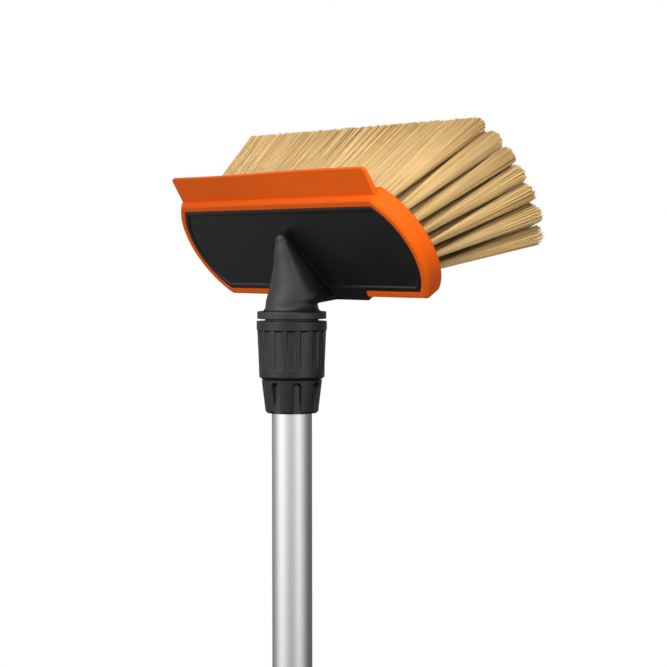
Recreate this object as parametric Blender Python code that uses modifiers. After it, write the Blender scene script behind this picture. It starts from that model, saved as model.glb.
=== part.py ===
"""Water-fed brush: a tilted flow-through head on a fixed aluminium pole with a shut-off valve.

Metres, +Z up along the pole. The origin is the middle of the foam grip, on the pole's axis.
The bristles point to +Y and up, and the head's long side lies along X.
"""
import math

import bmesh
import bpy
from mathutils import Matrix, Vector

OBJECT_NAME = "water_fed_brush"

# Gaps and cutter overruns
CLEARANCE = 0.0003
OVERRUN = 0.003

# Fineness of round shapes, as counts
ROUND_STEPS = 32
SLEEVE_STEPS = 48
LOWER_STEPS = 24
SMALL_STEPS = 12
SEAL_STEPS = 24
SEAL_SIDES = 5
CURVE_STEPS = 6
CORNER_STEPS = 3
OUTLINE_STEPS = 10
MERGE_DISTANCE = 0.00001
SHARP_ANGLE = math.radians(32)

# Pole
POLE_RADIUS = 0.0125
POLE_WALL = 0.0012
BARE_POLE = 0.330
GRIP_LENGTH = 0.130
GRIP_WALL = 0.0045
GRIP_END_ROUND = 0.002
GRIP_TO_VALVE = 0.010
POLE_IN_VALVE = 0.026

# Coupling that carries the head
COLLAR_LENGTH = 0.0205
COLLAR_TOP_RADIUS = 0.0188
COLLAR_FOOT_RADIUS = 0.0163
COLLAR_CHAMFER = 0.0010
POLE_IN_COLLAR = 0.0172
FLUTE_COUNT = 8
FLUTE_WIDTH = 0.0050
FLUTE_FLOOR_RADIUS = 0.0156
FLUTE_BELOW_TOP = 0.0016
FLUTE_TURN = math.radians(-22.5)
TAIL_PLUG_LENGTH = 0.0140
SOCKET_RADIUS = 0.0168
SOCKET_MOUTH_DEPTH = 0.0026
WASHER_THICKNESS = 0.0015
SLEEVE_LENGTH = 0.0362
SLEEVE_GAP = 0.0004
SLEEVE_RIM_RADIUS = 0.02185
SLEEVE_RIM_LENGTH = 0.0054
SLEEVE_RIM_ROUND = 0.0010
SLEEVE_STEP = 0.0003
SLEEVE_FOOT_RADIUS = 0.0202
SLEEVE_CHAMFER = 0.0016
RIB_COUNT = 16
RECESS_WIDTH = 0.0046
RECESS_FLOOR_RADIUS = 0.0205
RECESS_LENGTH = 0.0236
RIB_TURN = math.radians(-33.75)
COLLET_WALL = 0.0017
COLLET_FLARE = 0.0011
COLLET_SLIT = 0.0020

# Neck, flange and spigot of the back shell
WATER_BORE = 0.0060
FLANGE_GAP = 0.0013
FLANGE_THICKNESS = 0.0047
FLANGE_RADIUS = 0.0215
FLANGE_ROUND = 0.0006
NECK_FOOT_RADIUS = 0.0174
NECK_FOOT_RISE = 0.0080
SPIGOT_NECK_RADIUS = 0.0167
SPIGOT_NECK_LENGTH = 0.0045
SPIGOT_BODY_RADIUS = 0.0136
SPIGOT_BODY_LENGTH = 0.0160
SPIGOT_NOSE_RADIUS = 0.0104
SPIGOT_NOSE_LENGTH = 0.0146
SPIGOT_CHAMFER = 0.0008
RING_THICKNESS = 0.0018
RING_GROOVE_WIDTH = 0.0024
RING_PITCH = 0.0050

# Head
HEAD_TILT = math.radians(35)
HEAD_SETBACK = 0.0031
HEAD_RISE = 0.0425
HEAD_HEIGHT = 0.0606
HEAD_FLAT_LENGTH = 0.2130
HEAD_BOW = 0.0149
SHELL_DEPTH = 0.0120
SHELL_WALL = 0.0020
FACE_WALL = 0.0022
FACE_RECESS = 0.0007
FACE_BAND = 0.0032
CHAMBER_DEPTH = 0.0028
INLET_DEPTH = 0.0125
INLET_RADIUS = 0.0036
INLET_DROP = 0.0190
BORE_SHORT = 0.0120
LEDGE_WIDTH = 0.0035
GASKET_THICKNESS = 0.0008
BLOCK_PROUD = 0.0004
BUMPER_WALL = 0.0059
BUMPER_BACK_ROUND = 0.0020
BUMPER_FRONT_ROUND = 0.0012
BUMPER_LIP_ROUND = 0.0005
BUMPER_BACK = 0.0002
BUMPER_FRONT = 0.0004
TAB_TOP_LENGTH = 0.1060
TAB_FOOT_LENGTH = 0.0980
TAB_LAP = 0.0025
TAB_DROP = 0.0012
TAB_DEPTH = 0.0110
GUSSET_LENGTH = 0.0312
GUSSET_DEPTH = 0.0090
BLADE_LENGTH = 0.2200
BLADE_HEIGHT = 0.0168
BLADE_ROOT = 0.0025
BLADE_THICKNESS = 0.0036
BLADE_TIP = 0.0020
BLADE_BACK = 0.0039

# Brush block, its tufts, water jets and screws
ROW_COUNT = 7
ROW_MARGIN = 0.0063
TUFTS_IN_ROW = 18
END_TUFTS = 3
END_TUFT_PITCH = 0.0095
TUFT_MARGIN = 0.0075
STRIP_WIDTH = 0.0046
STRIP_DEPTH = 0.0023
BRISTLE_LENGTH = 0.0760
STRANDS_IN_TUFT = 3
TUFT_RADIUS = 0.0013
TUFT_SPREAD = math.radians(1.6)
STRAND_ROOT_RADIUS = 0.0009
STRAND_TIP_RADIUS = 0.0015
STRAND_SIDES = 3
END_FLARE = math.radians(14)
TOP_FLARE = math.radians(4)
MIDDLE_FLARE = math.radians(5)
FOOT_FLARE = math.radians(19)
JET_COUNT = 5
JET_MARGIN = 0.0345
JET_RADIUS = 0.0016
BLOCK_SCREWS = 4
SCREW_SHANK_RADIUS = 0.0017
SCREW_HEAD_RADIUS = 0.0034
SCREW_HEAD_DEPTH = 0.0022
SCREW_SINK = 0.0028
SCREW_SLOT = 0.0010
BOSS_RADIUS = 0.0036

# Shut-off valve
VALVE_SOCKET_RADIUS = 0.0165
VALVE_BODY_RADIUS = 0.0180
VALVE_WAIST = 0.0020
VALVE_FLOOR = 0.0020
BALL_RADIUS = 0.0095
BALL_BORE = 0.0055
SEAT_WALL_RADIUS = 0.0102
SEAT_DEPTH = 0.0026
SEAT_HEIGHT = 0.0056
VALVE_ROUND = 0.0015
STEM_RADIUS = 0.0040
STEM_TANG = 0.0030
STEM_TANG_DEPTH = 0.0022
STEM_BOSS_RADIUS = 0.0085
STEM_BOSS_REACH = 0.0215
LEVER_LENGTH = 0.0440
LEVER_THICKNESS = 0.0042
LEVER_HUB_RADIUS = 0.0082
LEVER_TIP_RADIUS = 0.0056
LEVER_ROUND = 0.0008
LEVER_RIB = 0.0018
LEVER_RIB_RISE = 0.0014
LEVER_SCREW_SHANK = 0.0016
LEVER_SCREW_LENGTH = 0.0090
LEVER_SCREW_RISE = 0.0020

# Hose plug
PLUG_SHANK_LENGTH = 0.0075
PLUG_FLANGE_RADIUS = 0.0150
PLUG_FLANGE_LENGTH = 0.0045
PLUG_FLANGE_NOTCHES = 8
PLUG_NOTCH_RADIUS = 0.0016
PLUG_BORE = 0.0052
PLUG_GROOVE_RADIUS = 0.0072
PLUG_GROOVE_LENGTH = 0.0062
PLUG_LATCH_RADIUS = 0.0088
PLUG_LATCH_LENGTH = 0.0040
PLUG_NOSE_RADIUS = 0.0078
PLUG_NOSE_LENGTH = 0.0100
PLUG_CHAMFER = 0.0008
FILTER_THICKNESS = 0.0008
FILTER_DEPTH = 0.0060
FILTER_HOLES = 6
FILTER_HOLE_RADIUS = 0.0011

# Levels along the pole
GRIP_TOP = GRIP_LENGTH / 2
COLLAR_FOOT = GRIP_TOP + BARE_POLE
COLLAR_TOP = COLLAR_FOOT + COLLAR_LENGTH
SLEEVE_FOOT = COLLAR_TOP + SLEEVE_GAP
SLEEVE_TOP = SLEEVE_FOOT + SLEEVE_LENGTH
FLANGE_FOOT = SLEEVE_TOP + FLANGE_GAP
FLANGE_TOP = FLANGE_FOOT + FLANGE_THICKNESS
SPIGOT_BODY_TOP = FLANGE_FOOT - SPIGOT_NECK_LENGTH
SPIGOT_NOSE_TOP = SPIGOT_BODY_TOP - SPIGOT_BODY_LENGTH
SPIGOT_FOOT = SPIGOT_NOSE_TOP - SPIGOT_NOSE_LENGTH
WASHER_FOOT = SPIGOT_FOOT - CLEARANCE - WASHER_THICKNESS
POLE_TOP = COLLAR_FOOT + POLE_IN_COLLAR
VALVE_TOP = -GRIP_TOP - GRIP_TO_VALVE
POLE_FOOT = VALVE_TOP - POLE_IN_VALVE
SEAT_REACH = SEAT_HEIGHT + SEAT_DEPTH + CLEARANCE
BALL_LEVEL = POLE_FOOT - VALVE_FLOOR - VALVE_WAIST - SEAT_REACH
VALVE_FOOT = BALL_LEVEL - SEAT_REACH - PLUG_SHANK_LENGTH

# Levels through the head, counted from the back face towards the bristle tips
LEDGE_LEVEL = FACE_WALL + CHAMBER_DEPTH
BLOCK_LEVEL = LEDGE_LEVEL + GASKET_THICKNESS + 2 * CLEARANCE
BLOCK_FRONT = SHELL_DEPTH + BLOCK_PROUD
STRIP_FOOT = BLOCK_FRONT - STRIP_DEPTH
GROOVE_FLOOR = STRIP_FOOT - CLEARANCE

# Rows of tufts across the block, and the water jets along it
ROW_SPAN = HEAD_HEIGHT - 2 * ROW_MARGIN
JET_PITCH = (HEAD_FLAT_LENGTH - 2 * JET_MARGIN) / (JET_COUNT - 1)

# The sides of the head are arcs over the chord HEAD_HEIGHT
ARC_RADIUS = (HEAD_HEIGHT ** 2 / 4 + HEAD_BOW ** 2) / (2 * HEAD_BOW)
ARC_CENTRE = HEAD_FLAT_LENGTH / 2 + HEAD_BOW - ARC_RADIUS

# The neck's sections, as shares: of the neck's height, then its middle, its radius and half its width
# on the panel, all of the foot's radius
NECK_HEIGHT = 0.0451
NECK_SHARES = [(0.104, 0.0, 0.925, 0.610), (0.259, 0.0, 0.828, 0.450), (0.412, 0.0, 0.730, 0.320),
               (0.576, -0.034, 0.592, 0.230), (0.767, -0.178, 0.305, 0.110), (0.867, -0.213, 0.172, 0.055),
               (0.990, -0.245, 0.012, 0.006)]
NECK_IN_PANEL_SHARE = 0.7
# The fillet under the neck, as shares of the flange's overhang and of the neck's foot height
FILLET_SHARES = [(0.2, 0.5), (0.6, 0.15)]
GUSSET_ROOT_SHARE = 0.97
SCREW_DOME_SHARE = 0.72
SCREW_CROSS_SHARE = 0.6
CROSS_TAPER_SHARE = 0.8
FILTER_RING_SHARE = 0.6

for old in list(bpy.data.objects):
    bpy.data.objects.remove(old)

parts = bpy.data.collections.new(OBJECT_NAME)
cutters = bpy.data.collections.new("cutters")
bpy.context.scene.collection.children.link(parts)
bpy.context.scene.collection.children.link(cutters)

head_frame = bpy.data.objects.new("head_frame", None)
head_frame.location = (0, HEAD_SETBACK, FLANGE_FOOT + HEAD_RISE)
head_frame.rotation_euler = (HEAD_TILT - math.pi / 2, 0, 0)
parts.objects.link(head_frame)

valve_frame = bpy.data.objects.new("valve_frame", None)
valve_frame.location = (0, 0, BALL_LEVEL)
valve_frame.rotation_euler = (math.pi / 2, 0, 0)
parts.objects.link(valve_frame)

coupling_frame = bpy.data.objects.new("coupling_frame", None)
coupling_frame.location = (0, 0, SLEEVE_FOOT)
parts.objects.link(coupling_frame)
bpy.context.view_layer.update()


def material(name, colour, roughness, metallic=0.0):
    """One Principled material."""
    made = bpy.data.materials.new(name)
    made.use_nodes = True
    shader = made.node_tree.nodes["Principled BSDF"]
    shader.inputs["Base Color"].default_value = (*colour, 1.0)
    shader.inputs["Roughness"].default_value = roughness
    shader.inputs["Metallic"].default_value = metallic
    return made


BLACK_ABS = material("black_abs", (0.018, 0.018, 0.021), 0.42)
BLACK_NYLON = material("black_nylon", (0.030, 0.031, 0.034), 0.55)
ORANGE_RUBBER = material("orange_rubber", (0.80, 0.11, 0.008), 0.50)
ORANGE_NYLON = material("orange_nylon", (0.80, 0.11, 0.008), 0.40)
TAN_BRISTLE = material("tan_bristle", (0.62, 0.40, 0.16), 0.60)
CREAM_BLOCK = material("cream_block", (0.46, 0.36, 0.22), 0.60)
ALUMINIUM = material("aluminium", (0.78, 0.78, 0.79), 0.32, 1.0)
STEEL = material("steel", (0.60, 0.60, 0.61), 0.30, 1.0)
BRASS = material("brass", (0.72, 0.52, 0.22), 0.28, 1.0)
NITRILE = material("nitrile", (0.015, 0.015, 0.015), 0.65)
PTFE = material("ptfe", (0.85, 0.85, 0.83), 0.40)
FOAM = material("foam", (0.022, 0.022, 0.023), 0.90)


def place(thing, finish, parent=None, location=(0, 0, 0)):
    """Put an object among the parts, or among the cutters when it has no finish."""
    if finish is None:
        cutters.objects.link(thing)
        thing.hide_render = True
        thing.display_type = "WIRE"
    else:
        parts.objects.link(thing)
        thing.data.materials.append(finish)
    thing.parent = parent
    thing.location = location
    return thing


def turned(name, profile, finish, steps=ROUND_STEPS, ring=False, parent=None, location=(0, 0, 0)):
    """Turn a profile of (radius, height) points about Z; a ring's profile closes on itself."""
    mesh = bpy.data.meshes.new(name)
    edges = [(i, i + 1) for i in range(len(profile) - 1)]
    if ring:
        edges.append((len(profile) - 1, 0))
    mesh.from_pydata([(radius, 0, height) for radius, height in profile], edges, [])
    thing = bpy.data.objects.new(name, mesh)
    screw = thing.modifiers.new("turn", "SCREW")
    screw.angle = 2 * math.pi
    screw.steps = steps
    screw.render_steps = steps
    screw.use_merge_vertices = True
    screw.merge_threshold = MERGE_DISTANCE
    return place(thing, finish, parent, location)


def prism(name, outlines, low, high, finish, parent=None, location=(0, 0, 0)):
    """Extrude flat outlines along Z from low to high; an outline inside another is a hole."""
    curve = bpy.data.curves.new(name, "CURVE")
    curve.dimensions = "2D"
    curve.fill_mode = "BOTH"
    curve.extrude = (high - low) / 2
    for outline in outlines:
        spline = curve.splines.new("POLY")
        spline.points.add(len(outline) - 1)
        for point, (x, y) in zip(spline.points, outline):
            point.co = (x, y, 0, 1)
        spline.use_cyclic_u = True
    drawn = bpy.data.objects.new(name, curve)
    cutters.objects.link(drawn)
    depsgraph = bpy.context.evaluated_depsgraph_get()
    mesh = bpy.data.meshes.new_from_object(drawn.evaluated_get(depsgraph))
    bpy.data.objects.remove(drawn)
    solid = bmesh.new()
    solid.from_mesh(mesh)
    bmesh.ops.translate(solid, vec=(0, 0, (high + low) / 2), verts=solid.verts)
    bmesh.ops.remove_doubles(solid, verts=solid.verts, dist=MERGE_DISTANCE)
    bmesh.ops.recalc_face_normals(solid, faces=solid.faces)
    solid.to_mesh(mesh)
    solid.free()
    mesh.name = name
    return place(bpy.data.objects.new(name, mesh), finish, parent, location)


def rectangle(x_low, x_high, y_low, y_high):
    """Outline of a rectangle."""
    return [(x_low, y_low), (x_high, y_low), (x_high, y_high), (x_low, y_high)]


def rod(name, radius, low, high, finish, steps=SMALL_STEPS, parent=None, location=(0, 0, 0)):
    """A plain round bar along Z."""
    return turned(name, [(0, high), (radius, high), (radius, low), (0, low)],
                  finish, steps, parent=parent, location=location)


def circle(x, y, radius, steps):
    """Outline of a circle."""
    angles = [2 * math.pi * step / steps for step in range(steps)]
    return [(x + radius * math.cos(angle), y + radius * math.sin(angle)) for angle in angles]


def boolean(target, other, operation, solver="EXACT"):
    """Join or cut with another object."""
    step = target.modifiers.new(operation.lower(), "BOOLEAN")
    step.operation = operation
    step.object = other
    step.solver = solver


def joined(name, things):
    """Bake several separate cutters or strands into one mesh object, kept among the cutters."""
    depsgraph = bpy.context.evaluated_depsgraph_get()
    whole = bmesh.new()
    for thing in things:
        mesh = bpy.data.meshes.new_from_object(thing.evaluated_get(depsgraph))
        mesh.transform(thing.matrix_world)
        whole.from_mesh(mesh)
        bpy.data.objects.remove(thing)
        bpy.data.meshes.remove(mesh)
    mesh = bpy.data.meshes.new(name)
    whole.to_mesh(mesh)
    whole.free()
    return place(bpy.data.objects.new(name, mesh), None)


def lofted_rim(name, section, finish, parent=None):
    """A rim round the head: a closed section of (grow, depth) points carried along the outline."""
    rim = bmesh.new()
    rings = []
    for grow, depth in section:
        rings.append([rim.verts.new((x, y, depth)) for x, y in head_outline(grow)])
    for ring, following in zip(rings, rings[1:] + rings[:1]):
        for step in range(len(ring)):
            after = (step + 1) % len(ring)
            rim.faces.new((ring[step], ring[after], following[after], following[step]))
    bmesh.ops.recalc_face_normals(rim, faces=rim.faces)
    mesh = bpy.data.meshes.new(name)
    rim.to_mesh(mesh)
    rim.free()
    return place(bpy.data.objects.new(name, mesh), finish, parent)


def corner(x, y, radius, start, steps=CORNER_STEPS):
    """Quarter of a circle round a centre, from a start angle, going anticlockwise."""
    angles = [start + math.pi / 2 * step / steps for step in range(steps + 1)]
    return [(x + radius * math.cos(angle), y + radius * math.sin(angle)) for angle in angles]


def bevelled(thing, width, segments, angle):
    """Round the edges that turn by more than an angle."""
    bevel = thing.modifiers.new("round", "BEVEL")
    bevel.width = width
    bevel.segments = segments
    bevel.limit_method = "ANGLE"
    bevel.angle_limit = angle
    return thing


def ring_points(count, turn):
    """Angles of evenly spaced features round the pole."""
    return [turn + 2 * math.pi * step / count for step in range(count)]


def turned_about_z(thing, angle):
    """Swing an object's mesh round the Z axis."""
    thing.data.transform(Matrix.Rotation(angle, 4, "Z"))
    return thing


def o_ring(name, inner_radius, thickness, level, finish, parent=None):
    """A round seal ring in its groove."""
    radius = thickness / 2
    middle = inner_radius + radius
    profile = []
    for step in range(SEAL_SIDES):
        angle = -2 * math.pi * step / SEAL_SIDES
        profile.append((middle + radius * math.cos(angle), level + radius * math.sin(angle)))
    return turned(name, profile, finish, SEAL_STEPS, ring=True, parent=parent)


def head_outline(grow=0.0):
    """Outline of the head: flat along both long sides, bowed at both ends."""
    radius = ARC_RADIUS + grow
    reach = math.asin((HEAD_HEIGHT / 2 + grow) / radius)
    right = []
    for step in range(OUTLINE_STEPS + 1):
        angle = -reach + 2 * reach * step / OUTLINE_STEPS
        right.append((ARC_CENTRE + radius * math.cos(angle), radius * math.sin(angle)))
    return right + [(-x, -y) for x, y in right]


def head_half_length(rise, grow):
    """Half length of the head at a distance from its middle line."""
    return ARC_CENTRE + math.sqrt((ARC_RADIUS + grow) ** 2 - rise ** 2)


def build_pole():
    """Drawn aluminium tube."""
    inside = POLE_RADIUS - POLE_WALL
    profile = [(POLE_RADIUS, POLE_TOP), (POLE_RADIUS, POLE_FOOT), (inside, POLE_FOOT), (inside, POLE_TOP)]
    turned("pole_tube", profile, ALUMINIUM, ring=True)


def build_grip():
    """Foam sleeve pushed onto the pole."""
    inside = POLE_RADIUS + CLEARANCE
    outside = inside + GRIP_WALL
    profile = [(outside - GRIP_END_ROUND, GRIP_TOP), (outside, GRIP_TOP - GRIP_END_ROUND),
               (outside, GRIP_END_ROUND - GRIP_TOP), (outside - GRIP_END_ROUND, -GRIP_TOP),
               (inside, -GRIP_TOP), (inside, GRIP_TOP)]
    turned("foam_grip", profile, FOAM, LOWER_STEPS, ring=True)


def build_coupling_body():
    """Collar, socket and tail plug in one moulding; flutes with a level floor under a tapering wall."""
    socket_top = SPIGOT_NOSE_TOP + SOCKET_MOUTH_DEPTH
    mouth = SPIGOT_BODY_RADIUS + CLEARANCE
    nose = SPIGOT_NOSE_RADIUS + CLEARANCE
    plug = POLE_RADIUS - POLE_WALL - CLEARANCE
    pocket = POLE_RADIUS + CLEARANCE
    pocket_top = POLE_TOP + CLEARANCE
    plug_foot = pocket_top - TAIL_PLUG_LENGTH
    groove = plug - RING_THICKNESS
    groove_top = (pocket_top + plug_foot + RING_GROOVE_WIDTH) / 2
    washer_level = WASHER_FOOT - CLEARANCE
    profile = [(SOCKET_RADIUS, socket_top), (SOCKET_RADIUS, COLLAR_TOP), (COLLAR_TOP_RADIUS, COLLAR_TOP),
               (COLLAR_FOOT_RADIUS, COLLAR_FOOT + COLLAR_CHAMFER),
               (COLLAR_FOOT_RADIUS - COLLAR_CHAMFER, COLLAR_FOOT), (pocket, COLLAR_FOOT),
               (pocket, pocket_top), (plug, pocket_top), (plug, groove_top), (groove, groove_top),
               (groove, groove_top - RING_GROOVE_WIDTH), (plug, groove_top - RING_GROOVE_WIDTH),
               (plug, plug_foot), (WATER_BORE, plug_foot), (WATER_BORE, washer_level),
               (nose, washer_level), (nose, SPIGOT_NOSE_TOP), (mouth, SPIGOT_NOSE_TOP), (mouth, socket_top)]
    body = turned("coupling_body", profile, BLACK_NYLON, ring=True)
    half = FLUTE_WIDTH / 2
    crown = COLLAR_TOP - FLUTE_BELOW_TOP - half
    outline = [(-half, COLLAR_FOOT - OVERRUN), (half, COLLAR_FOOT - OVERRUN)]
    for step in range(CURVE_STEPS + 1):
        angle = math.pi * step / CURVE_STEPS
        outline.append((half * math.cos(angle), crown + half * math.sin(angle)))
    flutes = []
    for angle in ring_points(FLUTE_COUNT, FLUTE_TURN):
        cutter = prism("flute", [outline], FLUTE_FLOOR_RADIUS, COLLAR_TOP_RADIUS + OVERRUN, None)
        upright = Matrix(((0, 0, 1, 0), (1, 0, 0, 0), (0, 1, 0, 0), (0, 0, 0, 1)))
        cutter.data.transform(upright)
        flutes.append(turned_about_z(cutter, angle))
    bpy.context.view_layer.update()
    boolean(body, joined("flutes", flutes), "DIFFERENCE")
    ring_level = groove_top - RING_GROOVE_WIDTH / 2
    o_ring("tail_o_ring", groove + CLEARANCE / 2, RING_THICKNESS - CLEARANCE, ring_level, NITRILE)
    washer_profile = [(nose - CLEARANCE, WASHER_FOOT + WASHER_THICKNESS), (nose - CLEARANCE, WASHER_FOOT),
                      (WATER_BORE, WASHER_FOOT), (WATER_BORE, WASHER_FOOT + WASHER_THICKNESS)]
    turned("socket_washer", washer_profile, NITRILE, LOWER_STEPS, ring=True)


def build_collet():
    """Split clamping ring between the socket and the locking sleeve."""
    inside = SPIGOT_BODY_RADIUS + CLEARANCE
    low = SPIGOT_NOSE_TOP + SOCKET_MOUTH_DEPTH + CLEARANCE
    high = SPIGOT_BODY_TOP - 2 * CLEARANCE
    foot_radius = inside + COLLET_WALL + COLLET_FLARE
    profile = [(inside + COLLET_WALL, high), (foot_radius, low), (inside, low), (inside, high)]
    ring = turned("collet_ring", profile, BLACK_NYLON, LOWER_STEPS, ring=True)
    half = COLLET_SLIT / 2
    slit = prism("collet_slit", [rectangle(-half, half, 0, foot_radius + OVERRUN)], low - OVERRUN,
                 high + OVERRUN, None)
    boolean(ring, slit, "DIFFERENCE")


def build_locking_sleeve():
    """Tapered nut whose grip recesses have a level floor, so they run out towards the foot."""
    rim_foot = SLEEVE_LENGTH - SLEEVE_RIM_LENGTH
    body_radius = SLEEVE_RIM_RADIUS - SLEEVE_STEP
    thread = SOCKET_RADIUS + CLEARANCE
    collet = SPIGOT_BODY_RADIUS + 2 * CLEARANCE + COLLET_WALL
    mouth = SPIGOT_NECK_RADIUS + CLEARANCE
    collet_high = SPIGOT_BODY_TOP - CLEARANCE - SLEEVE_FOOT
    collet_low = SPIGOT_NOSE_TOP + SOCKET_MOUTH_DEPTH - SLEEVE_FOOT
    profile = [(SLEEVE_RIM_RADIUS - SLEEVE_RIM_ROUND, SLEEVE_LENGTH),
               (SLEEVE_RIM_RADIUS, SLEEVE_LENGTH - SLEEVE_RIM_ROUND), (SLEEVE_RIM_RADIUS, rim_foot),
               (body_radius, rim_foot - SLEEVE_STEP), (SLEEVE_FOOT_RADIUS, SLEEVE_CHAMFER),
               (SLEEVE_FOOT_RADIUS - SLEEVE_CHAMFER, 0), (thread, 0), (thread, collet_low),
               (collet + COLLET_FLARE, collet_low), (collet, collet_high), (mouth, collet_high),
               (mouth, SLEEVE_LENGTH)]
    sleeve = turned("locking_sleeve", profile, BLACK_NYLON, SLEEVE_STEPS, ring=True, parent=coupling_frame)
    half = RECESS_WIDTH / 2
    top = rim_foot - 2 * SLEEVE_STEP
    recesses = []
    for angle in ring_points(RIB_COUNT, RIB_TURN):
        outline = rectangle(RECESS_FLOOR_RADIUS, SLEEVE_RIM_RADIUS + OVERRUN, -half, half)
        cutter = prism("recess", [outline], SLEEVE_FOOT + top - RECESS_LENGTH, SLEEVE_FOOT + top, None)
        recesses.append(turned_about_z(cutter, angle))
    bpy.context.view_layer.update()
    boolean(sleeve, joined("recesses", recesses), "DIFFERENCE")


def neck_ring(level, middle=0.0, radius=NECK_FOOT_RADIUS, half_width=None):
    """Section of the neck: a circle, drawn out to the panel on both sides where it has a half width."""
    if half_width is None:
        turns = [math.pi / 2 - 2 * math.pi * (step + 1 / 2) / ROUND_STEPS for step in range(ROUND_STEPS)]
        return [Vector((radius * math.cos(turn), middle + radius * math.sin(turn), level)) for turn in turns]
    panel = HEAD_SETBACK - (level - FLANGE_FOOT - HEAD_RISE) * math.tan(HEAD_TILT)
    reach = math.hypot(half_width, panel - middle)
    start = math.atan2(panel - middle, half_width) - math.acos(min(radius / reach, 1))
    last = ROUND_STEPS - 5
    turns = [start - (math.pi + 2 * start) * step / last for step in range(last + 1)]
    inward = Vector((0, math.cos(HEAD_TILT), math.sin(HEAD_TILT))) * FACE_WALL * NECK_IN_PANEL_SHARE
    ring = [Vector((half_width, panel, level)) + inward, Vector((half_width, panel, level))]
    ring += [Vector((radius * math.cos(turn), middle + radius * math.sin(turn), level)) for turn in turns]
    return ring + [Vector((-half_width, panel, level)), Vector((-half_width, panel, level)) + inward]


def neck_rings():
    """Rings of neck, flange and spigot, from the apex on the panel down to the spigot's foot."""
    neck_foot = FLANGE_FOOT + NECK_FOOT_RISE
    rings = []
    for rise_share, middle_share, radius_share, width_share in reversed(NECK_SHARES):
        rings.append(neck_ring(neck_foot + NECK_HEIGHT * rise_share, NECK_FOOT_RADIUS * middle_share,
                               NECK_FOOT_RADIUS * radius_share, NECK_FOOT_RADIUS * width_share))
    slope = neck_foot - FLANGE_TOP
    run = FLANGE_RADIUS - NECK_FOOT_RADIUS
    groove = SPIGOT_NOSE_RADIUS - RING_THICKNESS
    profile = [(NECK_FOOT_RADIUS, neck_foot)]
    for run_share, slope_share in FILLET_SHARES:
        profile.append((NECK_FOOT_RADIUS + run * run_share, FLANGE_TOP + slope * slope_share))
    profile += [(FLANGE_RADIUS - FLANGE_ROUND, FLANGE_TOP), (FLANGE_RADIUS, FLANGE_TOP - FLANGE_ROUND),
                (FLANGE_RADIUS, FLANGE_FOOT + FLANGE_ROUND), (FLANGE_RADIUS - FLANGE_ROUND, FLANGE_FOOT),
                (SPIGOT_NECK_RADIUS, FLANGE_FOOT), (SPIGOT_NECK_RADIUS, SPIGOT_BODY_TOP),
                (SPIGOT_BODY_RADIUS, SPIGOT_BODY_TOP), (SPIGOT_BODY_RADIUS, SPIGOT_NOSE_TOP),
                (SPIGOT_NOSE_RADIUS, SPIGOT_NOSE_TOP)]
    for level in spigot_ring_levels():
        for rise in (RING_GROOVE_WIDTH / 2, -RING_GROOVE_WIDTH / 2):
            shallow = (SPIGOT_NOSE_RADIUS, level + rise)
            deep = (groove, level + rise)
            profile += [shallow, deep] if rise > 0 else [deep, shallow]
    profile += [(SPIGOT_NOSE_RADIUS, SPIGOT_FOOT + SPIGOT_CHAMFER),
                (SPIGOT_NOSE_RADIUS - SPIGOT_CHAMFER, SPIGOT_FOOT)]
    return rings + [neck_ring(level, radius=radius) for radius, level in profile]


def build_neck():
    """Neck, flange and spigot as one body, its rings joined in turn and its two ends closed."""
    neck = bmesh.new()
    rings = [[neck.verts.new(point) for point in ring] for ring in neck_rings()]
    for ring, following in zip(rings, rings[1:]):
        for step in range(ROUND_STEPS):
            after = (step + 1) % ROUND_STEPS
            neck.faces.new((ring[step], ring[after], following[after], following[step]))
    neck.faces.new(rings[0])
    neck.faces.new(rings[-1])
    bmesh.ops.recalc_face_normals(neck, faces=neck.faces)
    mesh = bpy.data.meshes.new("neck")
    neck.to_mesh(mesh)
    neck.free()
    return place(bpy.data.objects.new("neck", mesh), None)


def spigot_ring_levels():
    """Levels of the two seal rings on the spigot's nose."""
    middle = (SPIGOT_NOSE_TOP + SPIGOT_FOOT) / 2
    return [middle + RING_PITCH / 2, middle - RING_PITCH / 2]


def tab_outline(grow):
    """Flat outline of the tab that laps over the lower rim, ends leaning in."""
    top = HEAD_HEIGHT / 2 - TAB_LAP
    foot = HEAD_HEIGHT / 2 + BUMPER_WALL + TAB_DROP + grow
    upper = TAB_TOP_LENGTH / 2 + grow
    lower = TAB_FOOT_LENGTH / 2 + grow
    return [(-upper, top - grow), (upper, top - grow), (lower, foot), (-lower, foot)]


def build_gusset():
    """Web between the neck's front and the tab's underside."""
    to_world = head_frame.matrix_world
    foot = HEAD_HEIGHT / 2 + BUMPER_WALL + TAB_DROP
    half = GUSSET_LENGTH / 2
    neck_foot = FLANGE_FOOT + NECK_FOOT_RISE
    points = [Vector((0, 0, neck_foot)), Vector((0, 0, neck_foot + WATER_BORE))]
    for step in range(CURVE_STEPS + 1):
        angle = math.pi * step / CURVE_STEPS
        radius = NECK_FOOT_RADIUS * GUSSET_ROOT_SHARE
        points.append(Vector((radius * math.cos(angle), radius * math.sin(angle), neck_foot)))
    for x in (-half, half):
        for depth in (CLEARANCE - BUMPER_BACK, GUSSET_DEPTH):
            points.append(to_world @ Vector((x, foot - CLEARANCE, depth)))
            inner = foot - TAB_DROP + 2 * CLEARANCE
            points.append(to_world @ Vector((x, inner, depth + BUMPER_BACK)))
    web = bmesh.new()
    for point in points:
        web.verts.new(point)
    bmesh.ops.convex_hull(web, input=web.verts)
    loose = [vert for vert in web.verts if not vert.link_faces]
    bmesh.ops.delete(web, geom=loose, context="VERTS")
    bmesh.ops.recalc_face_normals(web, faces=web.faces)
    mesh = bpy.data.meshes.new("gusset")
    web.to_mesh(mesh)
    web.free()
    return place(bpy.data.objects.new("gusset", mesh), None)


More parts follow.
